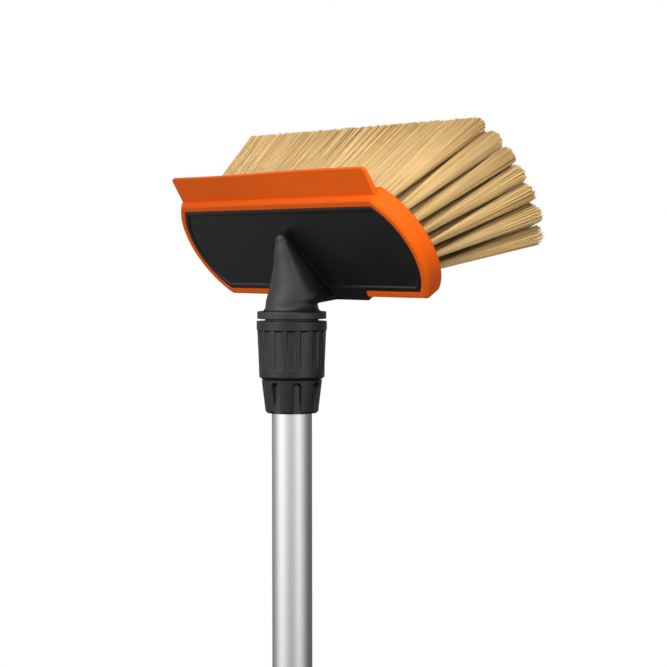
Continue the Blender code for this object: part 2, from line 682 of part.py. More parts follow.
def block_screw_places():
    """Places along the middle line of the screws, between the water jets."""
    first = -(BLOCK_SCREWS - 1) / 2
    return [JET_PITCH * (first + step) for step in range(BLOCK_SCREWS)]


def build_back_shell():
    """Panel, neck, flange, spigot, tab and gusset in one moulding, hollow towards the bristles."""
    shell = prism("back_shell", [head_outline()], 0, SHELL_DEPTH, BLACK_ABS, head_frame)
    recess = prism("face_recess", [head_outline(-FACE_BAND)], -OVERRUN, FACE_RECESS, None, head_frame)
    neck = build_neck()
    tab = prism("tab", [tab_outline(0)], -BUMPER_BACK, TAB_DEPTH, None, head_frame)
    bumper_room = prism("bumper_room", [head_outline(BUMPER_WALL + CLEARANCE)], FACE_WALL,
                        SHELL_DEPTH + OVERRUN, None, head_frame)
    gusset = build_gusset()
    boolean(tab, bumper_room, "DIFFERENCE")
    boolean(gusset, bumper_room, "DIFFERENCE")
    boolean(tab, gusset, "UNION")
    chamber = prism("chamber", [head_outline(-SHELL_WALL - LEDGE_WIDTH)], FACE_WALL, SHELL_DEPTH + OVERRUN,
                    None, head_frame)
    pocket = prism("pocket", [head_outline(-SHELL_WALL)], LEDGE_LEVEL, SHELL_DEPTH + OVERRUN, None,
                   head_frame)
    bore_top = FLANGE_FOOT + HEAD_RISE - BORE_SHORT
    bore = rod("water_bore", WATER_BORE, SPIGOT_FOOT - OVERRUN, bore_top, None)
    inlet = rod("chamber_inlet", INLET_RADIUS, -INLET_DEPTH, FACE_WALL + OVERRUN, None,
                parent=head_frame, location=(0, INLET_DROP, 0))
    boolean(shell, recess, "DIFFERENCE")
    boolean(shell, neck, "UNION")
    boolean(shell, tab, "UNION")
    boolean(shell, chamber, "DIFFERENCE")
    boolean(shell, pocket, "DIFFERENCE")
    boolean(shell, bore, "DIFFERENCE")
    boolean(shell, inlet, "DIFFERENCE")
    bosses = []
    holes = []
    for x in block_screw_places():
        boss = rod("boss", BOSS_RADIUS, FACE_RECESS + CLEARANCE, BLOCK_LEVEL - CLEARANCE, None,
                   parent=head_frame, location=(x, 0, 0))
        hole = rod("boss_hole", SCREW_SHANK_RADIUS + CLEARANCE, FACE_WALL + CLEARANCE,
                   BLOCK_LEVEL + OVERRUN, None, parent=head_frame, location=(x, 0, 0))
        bosses.append(turned_about_z(boss, math.pi / SMALL_STEPS))
        holes.append(turned_about_z(hole, math.pi / SMALL_STEPS))
    bpy.context.view_layer.update()
    boolean(shell, joined("bosses", bosses), "UNION")
    boolean(shell, joined("boss_holes", holes), "DIFFERENCE")
    for number, level in enumerate(spigot_ring_levels(), 1):
        o_ring(f"spigot_o_ring_{number}", SPIGOT_NOSE_RADIUS - RING_THICKNESS + CLEARANCE / 2,
               RING_THICKNESS - CLEARANCE, level, NITRILE)


def build_bumper():
    """Rubber rim round the shell, with a slot for the blade and a rebate for the tab."""
    front = SHELL_DEPTH + BUMPER_FRONT
    lip = CLEARANCE + BUMPER_LIP_ROUND
    quarter = math.pi / 2
    section = corner(BUMPER_WALL - BUMPER_FRONT_ROUND, front - BUMPER_FRONT_ROUND, BUMPER_FRONT_ROUND, 0)
    section += corner(lip, front - BUMPER_LIP_ROUND, BUMPER_LIP_ROUND, quarter, 1)
    section += corner(lip, BUMPER_LIP_ROUND - BUMPER_BACK, BUMPER_LIP_ROUND, 2 * quarter, 1)
    section += corner(BUMPER_WALL - BUMPER_BACK_ROUND, BUMPER_BACK_ROUND - BUMPER_BACK, BUMPER_BACK_ROUND,
                      -quarter)
    bumper = lofted_rim("rim_bumper", section, ORANGE_RUBBER, head_frame)
    rebate = prism("tab_rebate", [tab_outline(CLEARANCE)], -OVERRUN, FACE_WALL + CLEARANCE, None,
                   head_frame)
    half = BLADE_LENGTH / 2 + CLEARANCE
    top = -HEAD_HEIGHT / 2 - BUMPER_WALL
    slot = prism("blade_slot", [rectangle(-half, half, top - OVERRUN, top + BLADE_ROOT + CLEARANCE)],
                 BLADE_BACK - CLEARANCE, BLADE_BACK + BLADE_THICKNESS + CLEARANCE, None, head_frame)
    boolean(bumper, rebate, "DIFFERENCE")
    boolean(bumper, slot, "DIFFERENCE")


def build_blade():
    """Squeegee blade: an extruded rubber strip, thinner towards its wiping edge."""
    top = -HEAD_HEIGHT / 2 - BUMPER_WALL
    front = BLADE_BACK + BLADE_THICKNESS
    section = [(BLADE_BACK, top + BLADE_ROOT), (front, top + BLADE_ROOT), (front, top - BLADE_HEIGHT),
               (front - BLADE_TIP, top - BLADE_HEIGHT), (BLADE_BACK, top)]
    half = BLADE_LENGTH / 2
    blade = prism("squeegee_blade", [section], -half, half, ORANGE_RUBBER, head_frame)
    lengthwise = Matrix(((0, 0, 1, 0), (0, 1, 0, 0), (1, 0, 0, 0), (0, 0, 0, 1)))
    blade.data.transform(lengthwise)
    blade.data.flip_normals()


def row_rise(row):
    """Place of a row of tufts across the head; row 0 is on the squeegee side."""
    return ROW_SPAN * (row / (ROW_COUNT - 1) - 1 / 2)


def row_reach(row):
    """Place of the last tuft of a row along the head."""
    return head_half_length(row_rise(row), -SHELL_WALL - CLEARANCE - TUFT_MARGIN)


def tuft_rows():
    """Every strip of tufts: name, row and the places of its tufts along X."""
    middle = ROW_COUNT // 2
    rows = []
    for row in range(ROW_COUNT):
        reach = row_reach(row)
        if row == middle:
            right = [reach - END_TUFT_PITCH * step for step in reversed(range(END_TUFTS))]
            rows.append((f"bristle_row_{row + 1}_right", row, right))
            rows.append((f"bristle_row_{row + 1}_left", row, [-x for x in reversed(right)]))
        else:
            places = [reach * (2 * step / (TUFTS_IN_ROW - 1) - 1) for step in range(TUFTS_IN_ROW)]
            rows.append((f"bristle_row_{row + 1}", row, places))
    return rows


def strip_outline(row, places, grow):
    """Outline of a strip of backing, or of its groove when grown."""
    margin = STRIP_WIDTH / 2 + grow
    rise = row_rise(row)
    return rectangle(places[0] - margin, places[-1] + margin, rise - margin, rise + margin)


def strand_direction(x, row, rise):
    """Strands lean out towards the head's ends and towards its foot, most in the last row."""
    side = rise / (ROW_SPAN / 2)
    slope = (FOOT_FLARE + TOP_FLARE) / 2
    curl = (FOOT_FLARE - TOP_FLARE) / 2 - MIDDLE_FLARE
    end = x / row_reach(row)
    aside = MIDDLE_FLARE + slope * side + curl * side * side
    return Vector((math.tan(END_FLARE * end), math.tan(aside), 1)).normalized()


def build_bristles():
    """Tufts of tapering strands, fused to a strip of backing for each row."""
    for name, row, places in tuft_rows():
        outline = strip_outline(row, places, 0)
        strip = prism(name, [outline], STRIP_FOOT, BLOCK_FRONT, TAN_BRISTLE, head_frame)
        strands = bmesh.new()
        for x in places:
            for number in range(STRANDS_IN_TUFT):
                angle = math.pi / 2 + 2 * math.pi * (number / STRANDS_IN_TUFT + x / JET_PITCH)
                aside = Vector((math.cos(angle), math.sin(angle), 0))
                root = Vector((x, row_rise(row), STRIP_FOOT + STRIP_DEPTH / 2)) + aside * TUFT_RADIUS
                lean = strand_direction(root.x, row, root.y) + aside * math.tan(TUFT_SPREAD)
                turn = lean.normalized().to_track_quat("Z", "Y").to_matrix().to_4x4()
                length = BRISTLE_LENGTH + STRIP_DEPTH / 2
                shift = Matrix.Translation(root + lean.normalized() * (length / 2))
                bmesh.ops.create_cone(strands, cap_ends=True, segments=STRAND_SIDES,
                                      radius1=STRAND_ROOT_RADIUS, radius2=STRAND_TIP_RADIUS,
                                      depth=length, matrix=shift @ turn)
        mesh = bpy.data.meshes.new(name + "_strands")
        strands.to_mesh(mesh)
        strands.free()
        bundle = place(bpy.data.objects.new(name + "_strands", mesh), None, head_frame)
        boolean(strip, bundle, "UNION")


def build_block():
    """Brush block closing the chamber: a groove for each strip, water jets and screw holes."""
    block = prism("bristle_block", [head_outline(-SHELL_WALL - CLEARANCE)], BLOCK_LEVEL, BLOCK_FRONT,
                  CREAM_BLOCK, head_frame)
    cuts = []
    for name, row, places in tuft_rows():
        cuts.append(prism(name + "_groove", [strip_outline(row, places, CLEARANCE)], GROOVE_FLOOR,
                          BLOCK_FRONT + OVERRUN, None, head_frame))
    for step in range(JET_COUNT):
        x = JET_PITCH * (step - (JET_COUNT - 1) / 2)
        cuts.append(rod("jet", JET_RADIUS, BLOCK_LEVEL - OVERRUN, BLOCK_FRONT + OVERRUN, None,
                        steps=CURVE_STEPS, parent=head_frame, location=(x, 0, 0)))
    sink = BLOCK_FRONT - SCREW_SINK
    head = SCREW_HEAD_RADIUS + CLEARANCE
    shank = SCREW_SHANK_RADIUS + CLEARANCE
    for x in block_screw_places():
        profile = [(0, BLOCK_FRONT + OVERRUN), (head, BLOCK_FRONT + OVERRUN), (head, sink), (shank, sink),
                   (shank, BLOCK_LEVEL - OVERRUN), (0, BLOCK_LEVEL - OVERRUN)]
        cuts.append(turned("screw_hole", profile, None, SMALL_STEPS, parent=head_frame,
                           location=(x, 0, 0)))
    bpy.context.view_layer.update()
    boolean(block, joined("block_cuts", cuts), "DIFFERENCE")
    inner = -SHELL_WALL - LEDGE_WIDTH + CLEARANCE
    prism("chamber_gasket", [head_outline(-SHELL_WALL - CLEARANCE), head_outline(inner)],
          LEDGE_LEVEL + CLEARANCE, BLOCK_LEVEL - CLEARANCE, NITRILE, head_frame)


def screw(name, head_radius, head_depth, shank_radius, length, parent, location):
    """Pan-head screw along -Z, its seat at its own zero, with a cross recess."""
    dome = head_radius * SCREW_DOME_SHARE
    profile = [(0, head_depth), (dome, head_depth), (head_radius, head_depth / 2), (head_radius, 0),
               (shank_radius, 0), (shank_radius, shank_radius - length), (shank_radius / 2, -length),
               (0, -length)]
    body = turned(name, profile, STEEL, steps=SMALL_STEPS, parent=parent, location=location)
    half = SCREW_SLOT / 2
    tip = half * CROSS_TAPER_SHARE
    reach = head_radius * SCREW_CROSS_SHARE
    arms = [(tip, reach), (-tip, reach), (-half, half), (-reach, tip), (-reach, -tip), (-half, -half),
            (-tip, -reach), (tip, -reach), (half, -half), (reach, -tip), (reach, tip), (half, half)]
    cross = prism(name + "_cross", [arms], head_depth / 2, head_depth + OVERRUN, None, parent, location)
    boolean(body, cross, "DIFFERENCE")


def build_block_screws():
    """Screws that hold the block in the shell."""
    seat = BLOCK_FRONT - SCREW_SINK + CLEARANCE
    length = seat - FACE_WALL - 3 * CLEARANCE
    for number, x in enumerate(block_screw_places(), 1):
        screw(f"block_screw_{number}", SCREW_HEAD_RADIUS, SCREW_HEAD_DEPTH, SCREW_SHANK_RADIUS, length,
              head_frame, (x, 0, seat))


def build_valve_body():
    """Valve housing: socket for the pole, ball chamber open at the foot, and a stem boss at the back."""
    pocket = POLE_RADIUS + CLEARANCE
    floor = POLE_FOOT - CLEARANCE
    chamber = SEAT_WALL_RADIUS + CLEARANCE
    chamber_top = BALL_LEVEL + SEAT_REACH
    shoulder = floor - VALVE_FLOOR
    profile = [(VALVE_SOCKET_RADIUS - VALVE_ROUND, VALVE_TOP),
               (VALVE_SOCKET_RADIUS, VALVE_TOP - VALVE_ROUND),
               (VALVE_SOCKET_RADIUS, shoulder + VALVE_ROUND), (VALVE_BODY_RADIUS, shoulder - VALVE_ROUND),
               (VALVE_BODY_RADIUS, VALVE_FOOT + VALVE_ROUND), (VALVE_BODY_RADIUS - VALVE_ROUND, VALVE_FOOT),
               (chamber, VALVE_FOOT), (chamber, chamber_top), (BALL_BORE + CLEARANCE, chamber_top),
               (BALL_BORE + CLEARANCE, floor), (pocket, floor), (pocket, VALVE_TOP)]
    body = turned("valve_body", profile, BLACK_ABS, LOWER_STEPS, ring=True)
    boss = rod("stem_boss", STEM_BOSS_RADIUS, chamber + VALVE_ROUND, STEM_BOSS_REACH, None, LOWER_STEPS,
               parent=valve_frame)
    stem_hole = rod("stem_hole", STEM_RADIUS + CLEARANCE, 0, STEM_BOSS_REACH + OVERRUN, None, SEAL_STEPS,
                    parent=valve_frame)
    boolean(body, boss, "UNION")
    boolean(body, stem_hole, "DIFFERENCE")


def build_valve_seats():
    """Two seat rings whose inner corner follows the ball."""
    run = BALL_RADIUS + CLEARANCE
    inner = BALL_BORE + CLEARANCE
    inner_rise = math.sqrt(run ** 2 - inner ** 2)
    outer_rise = math.sqrt(run ** 2 - (inner_rise - CLEARANCE) ** 2)
    for name, side in (("valve_seat_upper", 1), ("valve_seat_lower", -1)):
        back = SEAT_REACH - CLEARANCE
        profile = [(SEAT_WALL_RADIUS, back), (SEAT_WALL_RADIUS, outer_rise),
                   (inner_rise - CLEARANCE, outer_rise)]
        for step in range(1, CORNER_STEPS):
            share = step / CORNER_STEPS
            radius = (inner_rise - CLEARANCE) * (1 - share) + inner * share
            profile.append((radius, math.sqrt(run ** 2 - radius ** 2)))
        profile += [(inner, inner_rise), (inner, back)]
        points = [(radius, BALL_LEVEL + side * rise) for radius, rise in profile]
        if side < 0:
            points.reverse()
        turned(name, points, PTFE, SEAL_STEPS, ring=True)


def build_valve_ball():
    """Bored ball with a slot for the stem's tang; the ball, stem and lever turn about the stem."""
    mesh = bpy.data.meshes.new("valve_ball")
    ball_mesh = bmesh.new()
    bmesh.ops.create_uvsphere(ball_mesh, u_segments=SEAL_STEPS, v_segments=SEAL_STEPS // 2,
                              radius=BALL_RADIUS)
    ball_mesh.to_mesh(mesh)
    ball_mesh.free()
    ball = place(bpy.data.objects.new("valve_ball", mesh), BRASS, valve_frame)
    reach = BALL_RADIUS + OVERRUN
    bore = rod("ball_bore", BALL_BORE, BALL_LEVEL - reach, BALL_LEVEL + reach, None)
    half = STEM_TANG / 2 + CLEARANCE
    slot = prism("ball_slot", [rectangle(-half, half, -reach, reach)], BALL_RADIUS - STEM_TANG_DEPTH,
                 reach, None, valve_frame)
    boolean(ball, bore, "DIFFERENCE")
    boolean(ball, slot, "DIFFERENCE")


def build_valve_stem():
    """Brass stem with a tang in the ball, a seal groove and a squared head for the lever."""
    tang_end = BALL_RADIUS - STEM_TANG_DEPTH + CLEARANCE
    shoulder = BALL_RADIUS + CLEARANCE
    head_end = STEM_BOSS_REACH + LEVER_THICKNESS + CLEARANCE
    groove = STEM_RADIUS - RING_THICKNESS / 2
    middle = (shoulder + STEM_BOSS_REACH) / 2
    profile = [(0, head_end), (STEM_RADIUS, head_end), (STEM_RADIUS, middle + RING_THICKNESS / 2),
               (groove, middle + RING_THICKNESS / 2), (groove, middle - RING_THICKNESS / 2),
               (STEM_RADIUS, middle - RING_THICKNESS / 2), (STEM_RADIUS, tang_end), (0, tang_end)]
    stem = turned("valve_stem", profile, BRASS, steps=SMALL_STEPS, parent=valve_frame)
    half = STEM_TANG / 2
    reach = STEM_RADIUS + OVERRUN
    for side in (-1, 1):
        low, high = sorted((side * half, side * reach))
        flat = prism("tang_flat", [rectangle(low, high, -reach, reach)], tang_end - OVERRUN, shoulder, None,
                     valve_frame)
        boolean(stem, flat, "DIFFERENCE")
    screw_hole = rod("lever_screw_hole", LEVER_SCREW_SHANK + CLEARANCE, head_end - LEVER_SCREW_LENGTH,
                     head_end + OVERRUN, None, parent=valve_frame)
    boolean(stem, screw_hole, "DIFFERENCE")
    thickness = STEM_RADIUS + CLEARANCE - groove - CLEARANCE / 2
    o_ring("stem_o_ring", groove + CLEARANCE / 4, thickness, middle, NITRILE, valve_frame)


def lever_outline():
    """Flat outline of the lever: a round hub and a tapering arm with a round end, pointing up the pole."""
    lean = math.asin((LEVER_HUB_RADIUS - LEVER_TIP_RADIUS) / LEVER_LENGTH)
    outline = []
    for step in range(CURVE_STEPS + 1):
        angle = lean + (math.pi - 2 * lean) * step / CURVE_STEPS
        rise = LEVER_TIP_RADIUS * math.sin(angle)
        outline.append((LEVER_TIP_RADIUS * math.cos(angle), LEVER_LENGTH + rise))
    for step in range(CURVE_STEPS + 1):
        angle = math.pi - lean + (math.pi + 2 * lean) * step / CURVE_STEPS
        outline.append((LEVER_HUB_RADIUS * math.cos(angle), LEVER_HUB_RADIUS * math.sin(angle)))
    return outline


def build_lever():
    """Moulded lever with a grip rib, held on the stem by one screw."""
    low = STEM_BOSS_REACH + CLEARANCE
    high = low + LEVER_THICKNESS
    lever = prism("valve_lever", [lever_outline()], low, high, ORANGE_NYLON, valve_frame)
    bevelled(lever, LEVER_ROUND, 2, math.radians(60))
    rib = prism("lever_rib", [rectangle(-LEVER_RIB / 2, LEVER_RIB / 2, LEVER_HUB_RADIUS, LEVER_LENGTH)],
                high - LEVER_ROUND, high + LEVER_RIB_RISE, None, valve_frame)
    eye = rod("lever_eye", STEM_RADIUS + CLEARANCE, low - OVERRUN, high + OVERRUN, None, parent=valve_frame)
    boolean(lever, rib, "UNION")
    boolean(lever, eye, "DIFFERENCE")
    screw("lever_screw", STEM_RADIUS + LEVER_SCREW_RISE, LEVER_SCREW_RISE, LEVER_SCREW_SHANK,
          LEVER_SCREW_LENGTH - CLEARANCE, valve_frame, (0, 0, high + CLEARANCE))


def build_hose_plug():
    """Male hose plug screwed into the valve's foot: notched flange, latch groove, seal ring, nose."""
    shank_top = BALL_LEVEL - SEAT_REACH - CLEARANCE
    flange_top = VALVE_FOOT - CLEARANCE
    flange_foot = flange_top - PLUG_FLANGE_LENGTH
    latch_top = flange_foot - PLUG_GROOVE_LENGTH
    latch_foot = latch_top - PLUG_LATCH_LENGTH
    nose_foot = latch_foot - PLUG_NOSE_LENGTH
    groove = PLUG_NOSE_RADIUS - RING_THICKNESS / 2
    groove_middle = (latch_foot + nose_foot) / 2
    groove_top = groove_middle + RING_THICKNESS / 2
    groove_foot = groove_middle - RING_THICKNESS / 2
    profile = [(SEAT_WALL_RADIUS, shank_top), (SEAT_WALL_RADIUS, flange_top),
               (PLUG_FLANGE_RADIUS, flange_top), (PLUG_FLANGE_RADIUS, flange_foot + PLUG_CHAMFER),
               (PLUG_FLANGE_RADIUS - PLUG_CHAMFER, flange_foot), (PLUG_GROOVE_RADIUS, flange_foot),
               (PLUG_GROOVE_RADIUS, latch_top + PLUG_CHAMFER), (PLUG_LATCH_RADIUS, latch_top),
               (PLUG_LATCH_RADIUS, latch_foot), (PLUG_NOSE_RADIUS, latch_foot - PLUG_CHAMFER),
               (PLUG_NOSE_RADIUS, groove_top), (groove, groove_top), (groove, groove_foot),
               (PLUG_NOSE_RADIUS, groove_foot), (PLUG_NOSE_RADIUS, nose_foot + PLUG_CHAMFER),
               (PLUG_NOSE_RADIUS - PLUG_CHAMFER, nose_foot), (PLUG_BORE, nose_foot),
               (PLUG_BORE, shank_top)]
    plug = turned("hose_plug", profile, BLACK_ABS, LOWER_STEPS, ring=True)
    notches = []
    for angle in ring_points(PLUG_FLANGE_NOTCHES, 0):
        place_at = (PLUG_FLANGE_RADIUS * math.cos(angle), PLUG_FLANGE_RADIUS * math.sin(angle), 0)
        notches.append(rod("notch", PLUG_NOTCH_RADIUS, flange_foot - OVERRUN / 2,
                           flange_top - PLUG_CHAMFER, None, CURVE_STEPS, location=place_at))
    bpy.context.view_layer.update()
    boolean(plug, joined("notches", notches), "DIFFERENCE")
    o_ring("plug_o_ring", groove + CLEARANCE / 2, RING_THICKNESS - CLEARANCE, groove_middle, NITRILE)
    filter_level = nose_foot + FILTER_DEPTH
    reach = PLUG_BORE - CLEARANCE
    outlines = [circle(0, 0, reach, LOWER_STEPS), circle(0, 0, FILTER_HOLE_RADIUS, CURVE_STEPS)]
    for angle in ring_points(FILTER_HOLES, 0):
        x = reach * FILTER_RING_SHARE * math.cos(angle)
        y = reach * FILTER_RING_SHARE * math.sin(angle)
        outlines.append(circle(x, y, FILTER_HOLE_RADIUS, CURVE_STEPS))
    prism("inlet_filter", outlines, filter_level, filter_level + FILTER_THICKNESS, STEEL)


def bake_parts():
    """Turn every part's modifiers into its mesh, smooth with sharp edges kept."""
    bpy.context.view_layer.update()
    depsgraph = bpy.context.evaluated_depsgraph_get()
    baked = {}
    for thing in parts.objects:
        if thing.type == "MESH":
            baked[thing.name] = bpy.data.meshes.new_from_object(thing.evaluated_get(depsgraph))
    for name, mesh in baked.items():
        thing = parts.objects[name]
        thing.modifiers.clear()
        mesh.name = name
        thing.data = mesh
        mesh.shade_smooth()
        mesh.set_sharp_from_angle(angle=SHARP_ANGLE)


build_pole()
build_grip()
build_coupling_body()
build_collet()
build_locking_sleeve()
build_back_shell()
build_bumper()
build_blade()
build_bristles()
build_block()
build_block_screws()
build_valve_body()
build_valve_seats()
build_valve_ball()
build_valve_stem()
build_lever()
build_hose_plug()
bake_parts()
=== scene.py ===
import math
import random

import bmesh
import bpy
import numpy as np
from mathutils import Matrix, Vector


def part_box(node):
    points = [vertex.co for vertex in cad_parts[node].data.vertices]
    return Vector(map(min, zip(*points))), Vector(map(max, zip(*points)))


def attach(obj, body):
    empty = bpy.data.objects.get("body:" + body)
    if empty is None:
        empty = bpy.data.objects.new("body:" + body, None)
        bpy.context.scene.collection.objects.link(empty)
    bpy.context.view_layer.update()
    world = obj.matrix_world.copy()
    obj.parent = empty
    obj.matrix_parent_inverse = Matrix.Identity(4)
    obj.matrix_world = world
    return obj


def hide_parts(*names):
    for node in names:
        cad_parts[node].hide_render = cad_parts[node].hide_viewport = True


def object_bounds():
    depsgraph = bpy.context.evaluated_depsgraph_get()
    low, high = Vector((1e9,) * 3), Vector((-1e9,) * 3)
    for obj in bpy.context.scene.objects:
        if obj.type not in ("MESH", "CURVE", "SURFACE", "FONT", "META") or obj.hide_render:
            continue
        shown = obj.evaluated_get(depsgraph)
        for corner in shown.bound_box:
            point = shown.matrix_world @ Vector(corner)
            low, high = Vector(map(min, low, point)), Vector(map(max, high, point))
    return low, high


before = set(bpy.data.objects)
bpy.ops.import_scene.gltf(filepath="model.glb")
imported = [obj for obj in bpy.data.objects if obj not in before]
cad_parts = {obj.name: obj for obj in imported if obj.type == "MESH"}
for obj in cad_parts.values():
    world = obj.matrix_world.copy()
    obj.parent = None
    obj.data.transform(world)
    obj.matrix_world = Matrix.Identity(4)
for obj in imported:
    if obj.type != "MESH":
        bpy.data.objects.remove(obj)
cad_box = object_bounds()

# CAMERA AND LAMPS
# The brush stands upright before a white backdrop, photographed from behind its right end.
# Soft boxes light it: one faces the panel, two hang high beyond the right end, and a low one on the
# far side lights the bristle tips for views from the front.

scene = bpy.context.scene
scene.view_settings.view_transform = "Standard"


def linear(colour):
    """An sRGB hex colour as linear RGBA."""
    channels = [int(colour[place:place + 2], 16) / 255 for place in (1, 3, 5)]
    return [c / 12.92 if c <= 0.04045 else ((c + 0.055) / 1.055) ** 2.4 for c in channels] + [1.0]


def add(tree, kind, settings=None, **links):
    """Add a node. A link is an input's name, or i and its number, given a value or an output."""
    node = tree.nodes.new(kind)
    for name, value in (settings or {}).items():
        setattr(node, name, value)
    for name, value in links.items():
        socket = node.inputs[int(name[1:]) if name[1:].isdigit() else name.replace("_", " ")]
        if isinstance(value, bpy.types.NodeSocket):
            tree.links.new(value, socket)
        else:
            socket.default_value = value
    return node


CAMERA_PLACE = (1.1637, -0.7458, 0.4944)
CAMERA_TURN = math.radians(56.272)
CAMERA_DROP = math.radians(2.081)
CAMERA_ROLL = math.radians(-0.060)
SENSOR_WIDTH = 36.0
# The focal length in the photograph's pixels, over the 667 of its width
CAMERA_LENS = 2228.0 * SENSOR_WIDTH / 667.0

camera = bpy.data.objects.new("camera", bpy.data.cameras.new("camera"))
scene.collection.objects.link(camera)
camera.data.lens = CAMERA_LENS
camera.data.sensor_width = SENSOR_WIDTH
upright = Matrix.Rotation(math.pi / 2 - CAMERA_DROP, 3, "X") @ Matrix.Rotation(CAMERA_ROLL, 3, "Z")
camera.rotation_euler = (Matrix.Rotation(CAMERA_TURN, 3, "Z") @ upright).to_euler()
camera.location = CAMERA_PLACE
scene.camera = camera

AIM = Vector((0.0, 0.0, 0.44))
# name, place, width, height, watts
SOFT_BOXES = [("panel_softbox", (0.70, -1.45, 0.85), 0.75, 1.50, 18.0),
              ("end_softbox", (0.70, -0.30, 1.10), 0.40, 0.60, 6.2),
              ("top_softbox", (0.85, -0.30, 1.10), 0.80, 0.80, 4.6),
              ("far_softbox", (-0.75, 1.40, 0.40), 1.00, 1.00, 26.0)]
for name, place, width, height, watts in SOFT_BOXES:
    lamp = bpy.data.lights.new(name, "AREA")
    lamp.shape = "RECTANGLE"
    lamp.size = width
    lamp.size_y = height
    lamp.energy = watts
    holder = bpy.data.objects.new(name, lamp)
    holder.location = place
    holder.rotation_euler = (AIM - Vector(place)).to_track_quat("-Z", "Y").to_euler()
    holder.visible_glossy = False
    scene.collection.objects.link(holder)

AMBIENT = 0.15
world = bpy.data.worlds.new("white_backdrop")
scene.world = world
world.use_nodes = True
tree = world.node_tree
tree.nodes.clear()
path = add(tree, "ShaderNodeLightPath")
seen = add(tree, "ShaderNodeMath", {"operation": "MAXIMUM"}, i0=path.outputs["Is Camera Ray"],
           i1=path.outputs["Is Glossy Ray"])
seen = add(tree, "ShaderNodeMath", {"operation": "MAXIMUM"}, i0=seen.outputs[0],
           i1=path.outputs["Is Transmission Ray"])
fill = add(tree, "ShaderNodeBackground", Color=(1, 1, 1, 1), Strength=AMBIENT)
backdrop = add(tree, "ShaderNodeBackground", Color=(1, 1, 1, 1), Strength=1.0)
both = add(tree, "ShaderNodeMixShader", i0=seen.outputs[0], i1=fill.outputs[0], i2=backdrop.outputs[0])
add(tree, "ShaderNodeOutputWorld", Surface=both.outputs[0])

# STUDIO FLATS AND FLOOR
# Grey flats stand round and over the set and glow with painted light, brighter in some directions, and show
# in reflections only.
# The floor is pale matt card, which fades to white towards its edge where the camera sees it.

FLATS_RADIUS = 2.30
FLATS_STEPS = 72
FLATS_ROWS = 24
FLOOR_LEVEL = -0.1562
FLOOR_RADIUS = 1.50
FLOOR_FADE = (0.25, 1.30)
# Turn from the camera's direction in degrees, and how bright the flat there is
FLAT_TONES = [(-180, 0.32), (-150, 0.28), (-120, 0.45), (-95, 0.80), (-78, 1.42), (-56, 1.60), (-40, 1.30),
              (-25, 0.95), (-8, 0.76), (6, 0.78), (20, 1.00), (34, 1.35), (48, 1.30), (60, 0.95), (80, 0.48),
              (97, 0.25), (120, 0.18), (150, 0.18), (165, 0.28), (180, 0.32)]
# Rise above the horizon in degrees, and what share of that shows
RISE_TONES = [(-90, 0.10), (-50, 0.10), (-30, 0.20), (-12, 0.80), (0, 1.0), (25, 1.15), (45, 1.60),
              (65, 1.10), (90, 0.80)]
SHARP_ANGLE = 35.0


def finish(name):
    """An empty material and its node tree."""
    made = bpy.data.materials.new(name)
    made.use_nodes = True
    made.node_tree.nodes.clear()
    return made, made.node_tree


def mesh_object(name, points, faces, skin, body, sharp=SHARP_ANGLE, edge=0.0):
    """A piece from points and faces, its edges rounded by a width, riding on a body if one is named."""
    mesh = bpy.data.meshes.new(name)
    mesh.from_pydata([tuple(point) for point in points], [], faces)
    shape = bmesh.new()
    shape.from_mesh(mesh)
    bmesh.ops.remove_doubles(shape, verts=shape.verts, dist=1e-6)
    bmesh.ops.dissolve_degenerate(shape, edges=shape.edges, dist=1e-7)
    bmesh.ops.recalc_face_normals(shape, faces=shape.faces)
    shape.to_mesh(mesh)
    shape.free()
    mesh.shade_smooth()
    mesh.set_sharp_from_angle(angle=math.radians(sharp))
    mesh.materials.append(skin)
    piece = bpy.data.objects.new(name, mesh)
    scene.collection.objects.link(piece)
    if edge:
        rounding = piece.modifiers.new("rounded_edges", "BEVEL")
        rounding.width = edge
        rounding.segments = 3
        rounding.limit_method = "ANGLE"
        rounding.angle_limit = math.radians(sharp)
    if body:
        piece.modifiers.new("even_shading", "WEIGHTED_NORMAL").keep_sharp = True
        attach(piece, body)
    return piece


# The flats are no lamps: they glow, each spot as bright as its painted tone, to give painted reflections.
glowing_flats, tree = finish("glowing_grey_flats")
tone = add(tree, "ShaderNodeAttribute", {"attribute_name": "tone"})
glow = add(tree, "ShaderNodeEmission", Color=tone.outputs["Color"], Strength=1.0)
add(tree, "ShaderNodeOutputMaterial", Surface=glow.outputs[0])

points = []
faces = []
tones = []
for row in range(FLATS_ROWS + 1):
    rise = -90 + 180 * row / FLATS_ROWS
    share = float(np.interp(rise, *zip(*RISE_TONES)))
    for step in range(FLATS_STEPS):
        turn = -180 + 360 * step / FLATS_STEPS
        bearing = CAMERA_TURN - math.pi / 2 + math.radians(turn)
        reach = FLATS_RADIUS * math.cos(math.radians(rise))
        points.append((reach * math.cos(bearing), reach * math.sin(bearing),
                       FLATS_RADIUS * math.sin(math.radians(rise)) + AIM.z))
        tones.append(share * float(np.interp(turn, *zip(*FLAT_TONES))))
        if row:
            here, after = row * FLATS_STEPS + step, row * FLATS_STEPS + (step + 1) % FLATS_STEPS
            faces.append((here, after, after - FLATS_STEPS, here - FLATS_STEPS))
flats = bpy.data.objects.new("studio_flats", bpy.data.meshes.new("studio_flats"))
flats.data.from_pydata(points, [], faces)
flats.data.materials.append(glowing_flats)
scene.collection.objects.link(flats)
colours = flats.data.color_attributes.new("tone", "FLOAT_COLOR", "POINT")
colours.data.foreach_set("color", [c for v in tones for c in (v, v, v, 1.0)])
flats.visible_camera = False
flats.visible_diffuse = False
flats.visible_transmission = False
flats.visible_shadow = False

